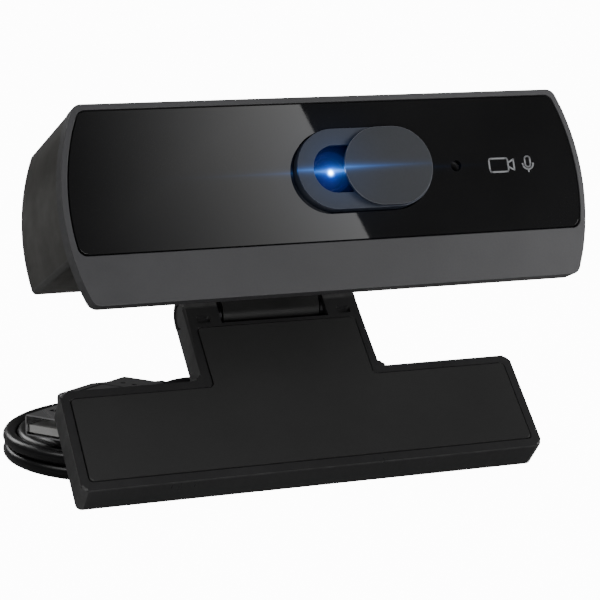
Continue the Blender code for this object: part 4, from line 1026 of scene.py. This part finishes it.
# ---- floor, backdrop and lights -----------------------------------------------------------------
def light(name, spot, target, size, power, tall=None):
    data = bpy.data.lights.new(name, "AREA")
    data.energy, data.size = power, size
    if tall:
        data.shape, data.size_y = "RECTANGLE", tall
    made = bpy.data.objects.new(name, data)
    bpy.context.collection.objects.link(made)
    made.location = spot
    made.rotation_euler = (Vector(target) - Vector(spot)).to_track_quat("-Z", "Y").to_euler()


def flat_material(name, colour, seen):
    """A pale matte surface that looks brighter to the camera than to the object."""
    paint = Paint(name, colour, 0.9, Emission_Color=(1, 1, 1, 1))
    path = paint.node("ShaderNodeLightPath")
    paint.link(paint.math("MULTIPLY", path.outputs["Is Camera Ray"], seen),
               paint.shader.inputs["Emission Strength"])
    return paint.made


FLOOR_REACH, FLOOR_SEEN = 3.0, 13.0         # half its side, and its glow to the camera
WORLD_LIGHT, WORLD_SEEN = 0.08, 16.0        # strength on the object, and to the camera
work = bmesh.new()
for corner in around((0, 0), FLOOR_REACH, FLOOR_REACH):
    work.verts.new((*corner, FLOOR - 0.0002))
work.faces.new(work.verts)
floor = linked("floor", work, Matrix.Identity(4))
floor.data.materials.append(flat_material("floor_paper", (0.40, 0.40, 0.40), FLOOR_SEEN))

world = bpy.data.worlds.new("studio")
bpy.context.scene.world = world
world.use_nodes = True
tree = world.node_tree
backdrop = tree.nodes["Background"]
seen = tree.nodes.new("ShaderNodeLightPath")
amount = tree.nodes.new("ShaderNodeMapRange")
amount.inputs["To Min"].default_value = WORLD_LIGHT
amount.inputs["To Max"].default_value = WORLD_SEEN
tree.links.new(seen.outputs["Is Camera Ray"], amount.inputs["Value"])
tree.links.new(amount.outputs[0], backdrop.inputs["Strength"])
backdrop.inputs["Color"].default_value = (1, 1, 1, 1)

light("key", (0.80, -0.62, 0.38), (0, 0, 0.02), 0.45, 4.4)
light("left_fill", (-0.52, 0.08, 0.62), (-0.05, 0.03, 0.04), 0.30, 0.9)
light("end_sheen", (-0.30, 0.80, 0.38), (-0.05, 0.02, 0.05), 0.30, 1.3)
light("top", (0.0, 0.15, 0.75), (0, 0, 0), 0.50, 0.15)
light("front_fill", (-0.15, -0.95, 0.02), (0, 0, 0.0), 0.80, 4.2, tall=0.25)


def reflected_card():
    """A graded light card whose mirror image fills the panel's left part, up to a slanted edge."""
    spot = IN_HEAD @ Vector((0, PANEL_SET_BACK, LENS_HEIGHT))
    facing = (IN_HEAD.to_3x3() @ Vector((0, -1, 0))).normalized()
    image = CAMERA_SPOT - facing * 2 * (CAMERA_SPOT - spot).dot(facing)
    corners = [(-0.0620, 0.0020), (0.0090, 0.0020), (-0.0073, 0.0430), (-0.0620, 0.0430)]
    far = 2.6                   # the card's distance, as a multiple of the camera's
    fade, brightest = 2.0, 3.1  # it brightens across as a power, up to this strength
    work = bmesh.new()
    grid = [work.verts.new(image + (IN_HEAD @ Vector((u, PANEL_SET_BACK, v)) - image) * far)
            for u, v in corners]
    work.faces.new(grid)
    uv = work.loops.layers.uv.new("UVMap")
    for face in work.faces:
        for loop, place in zip(face.loops, ((0, 0), (1, 0), (1, 1), (0, 1))):
            loop[uv].uv = place
    made = linked("light_card", work, Matrix.Identity(4))
    made.visible_camera = False
    made.visible_shadow = False
    made.visible_diffuse = False
    paint = Paint("light_card", (0, 0, 0), 0.5, Emission_Color=(1, 1, 1, 1))
    part = paint.node("ShaderNodeSeparateXYZ")
    paint.link(paint.node("ShaderNodeUVMap").outputs[0], part.inputs[0])
    paint.link(paint.math("MULTIPLY", paint.math("POWER", part.outputs["X"], fade), brightest),
               paint.shader.inputs["Emission Strength"])
    made.data.materials.append(paint.made)


reflected_card()
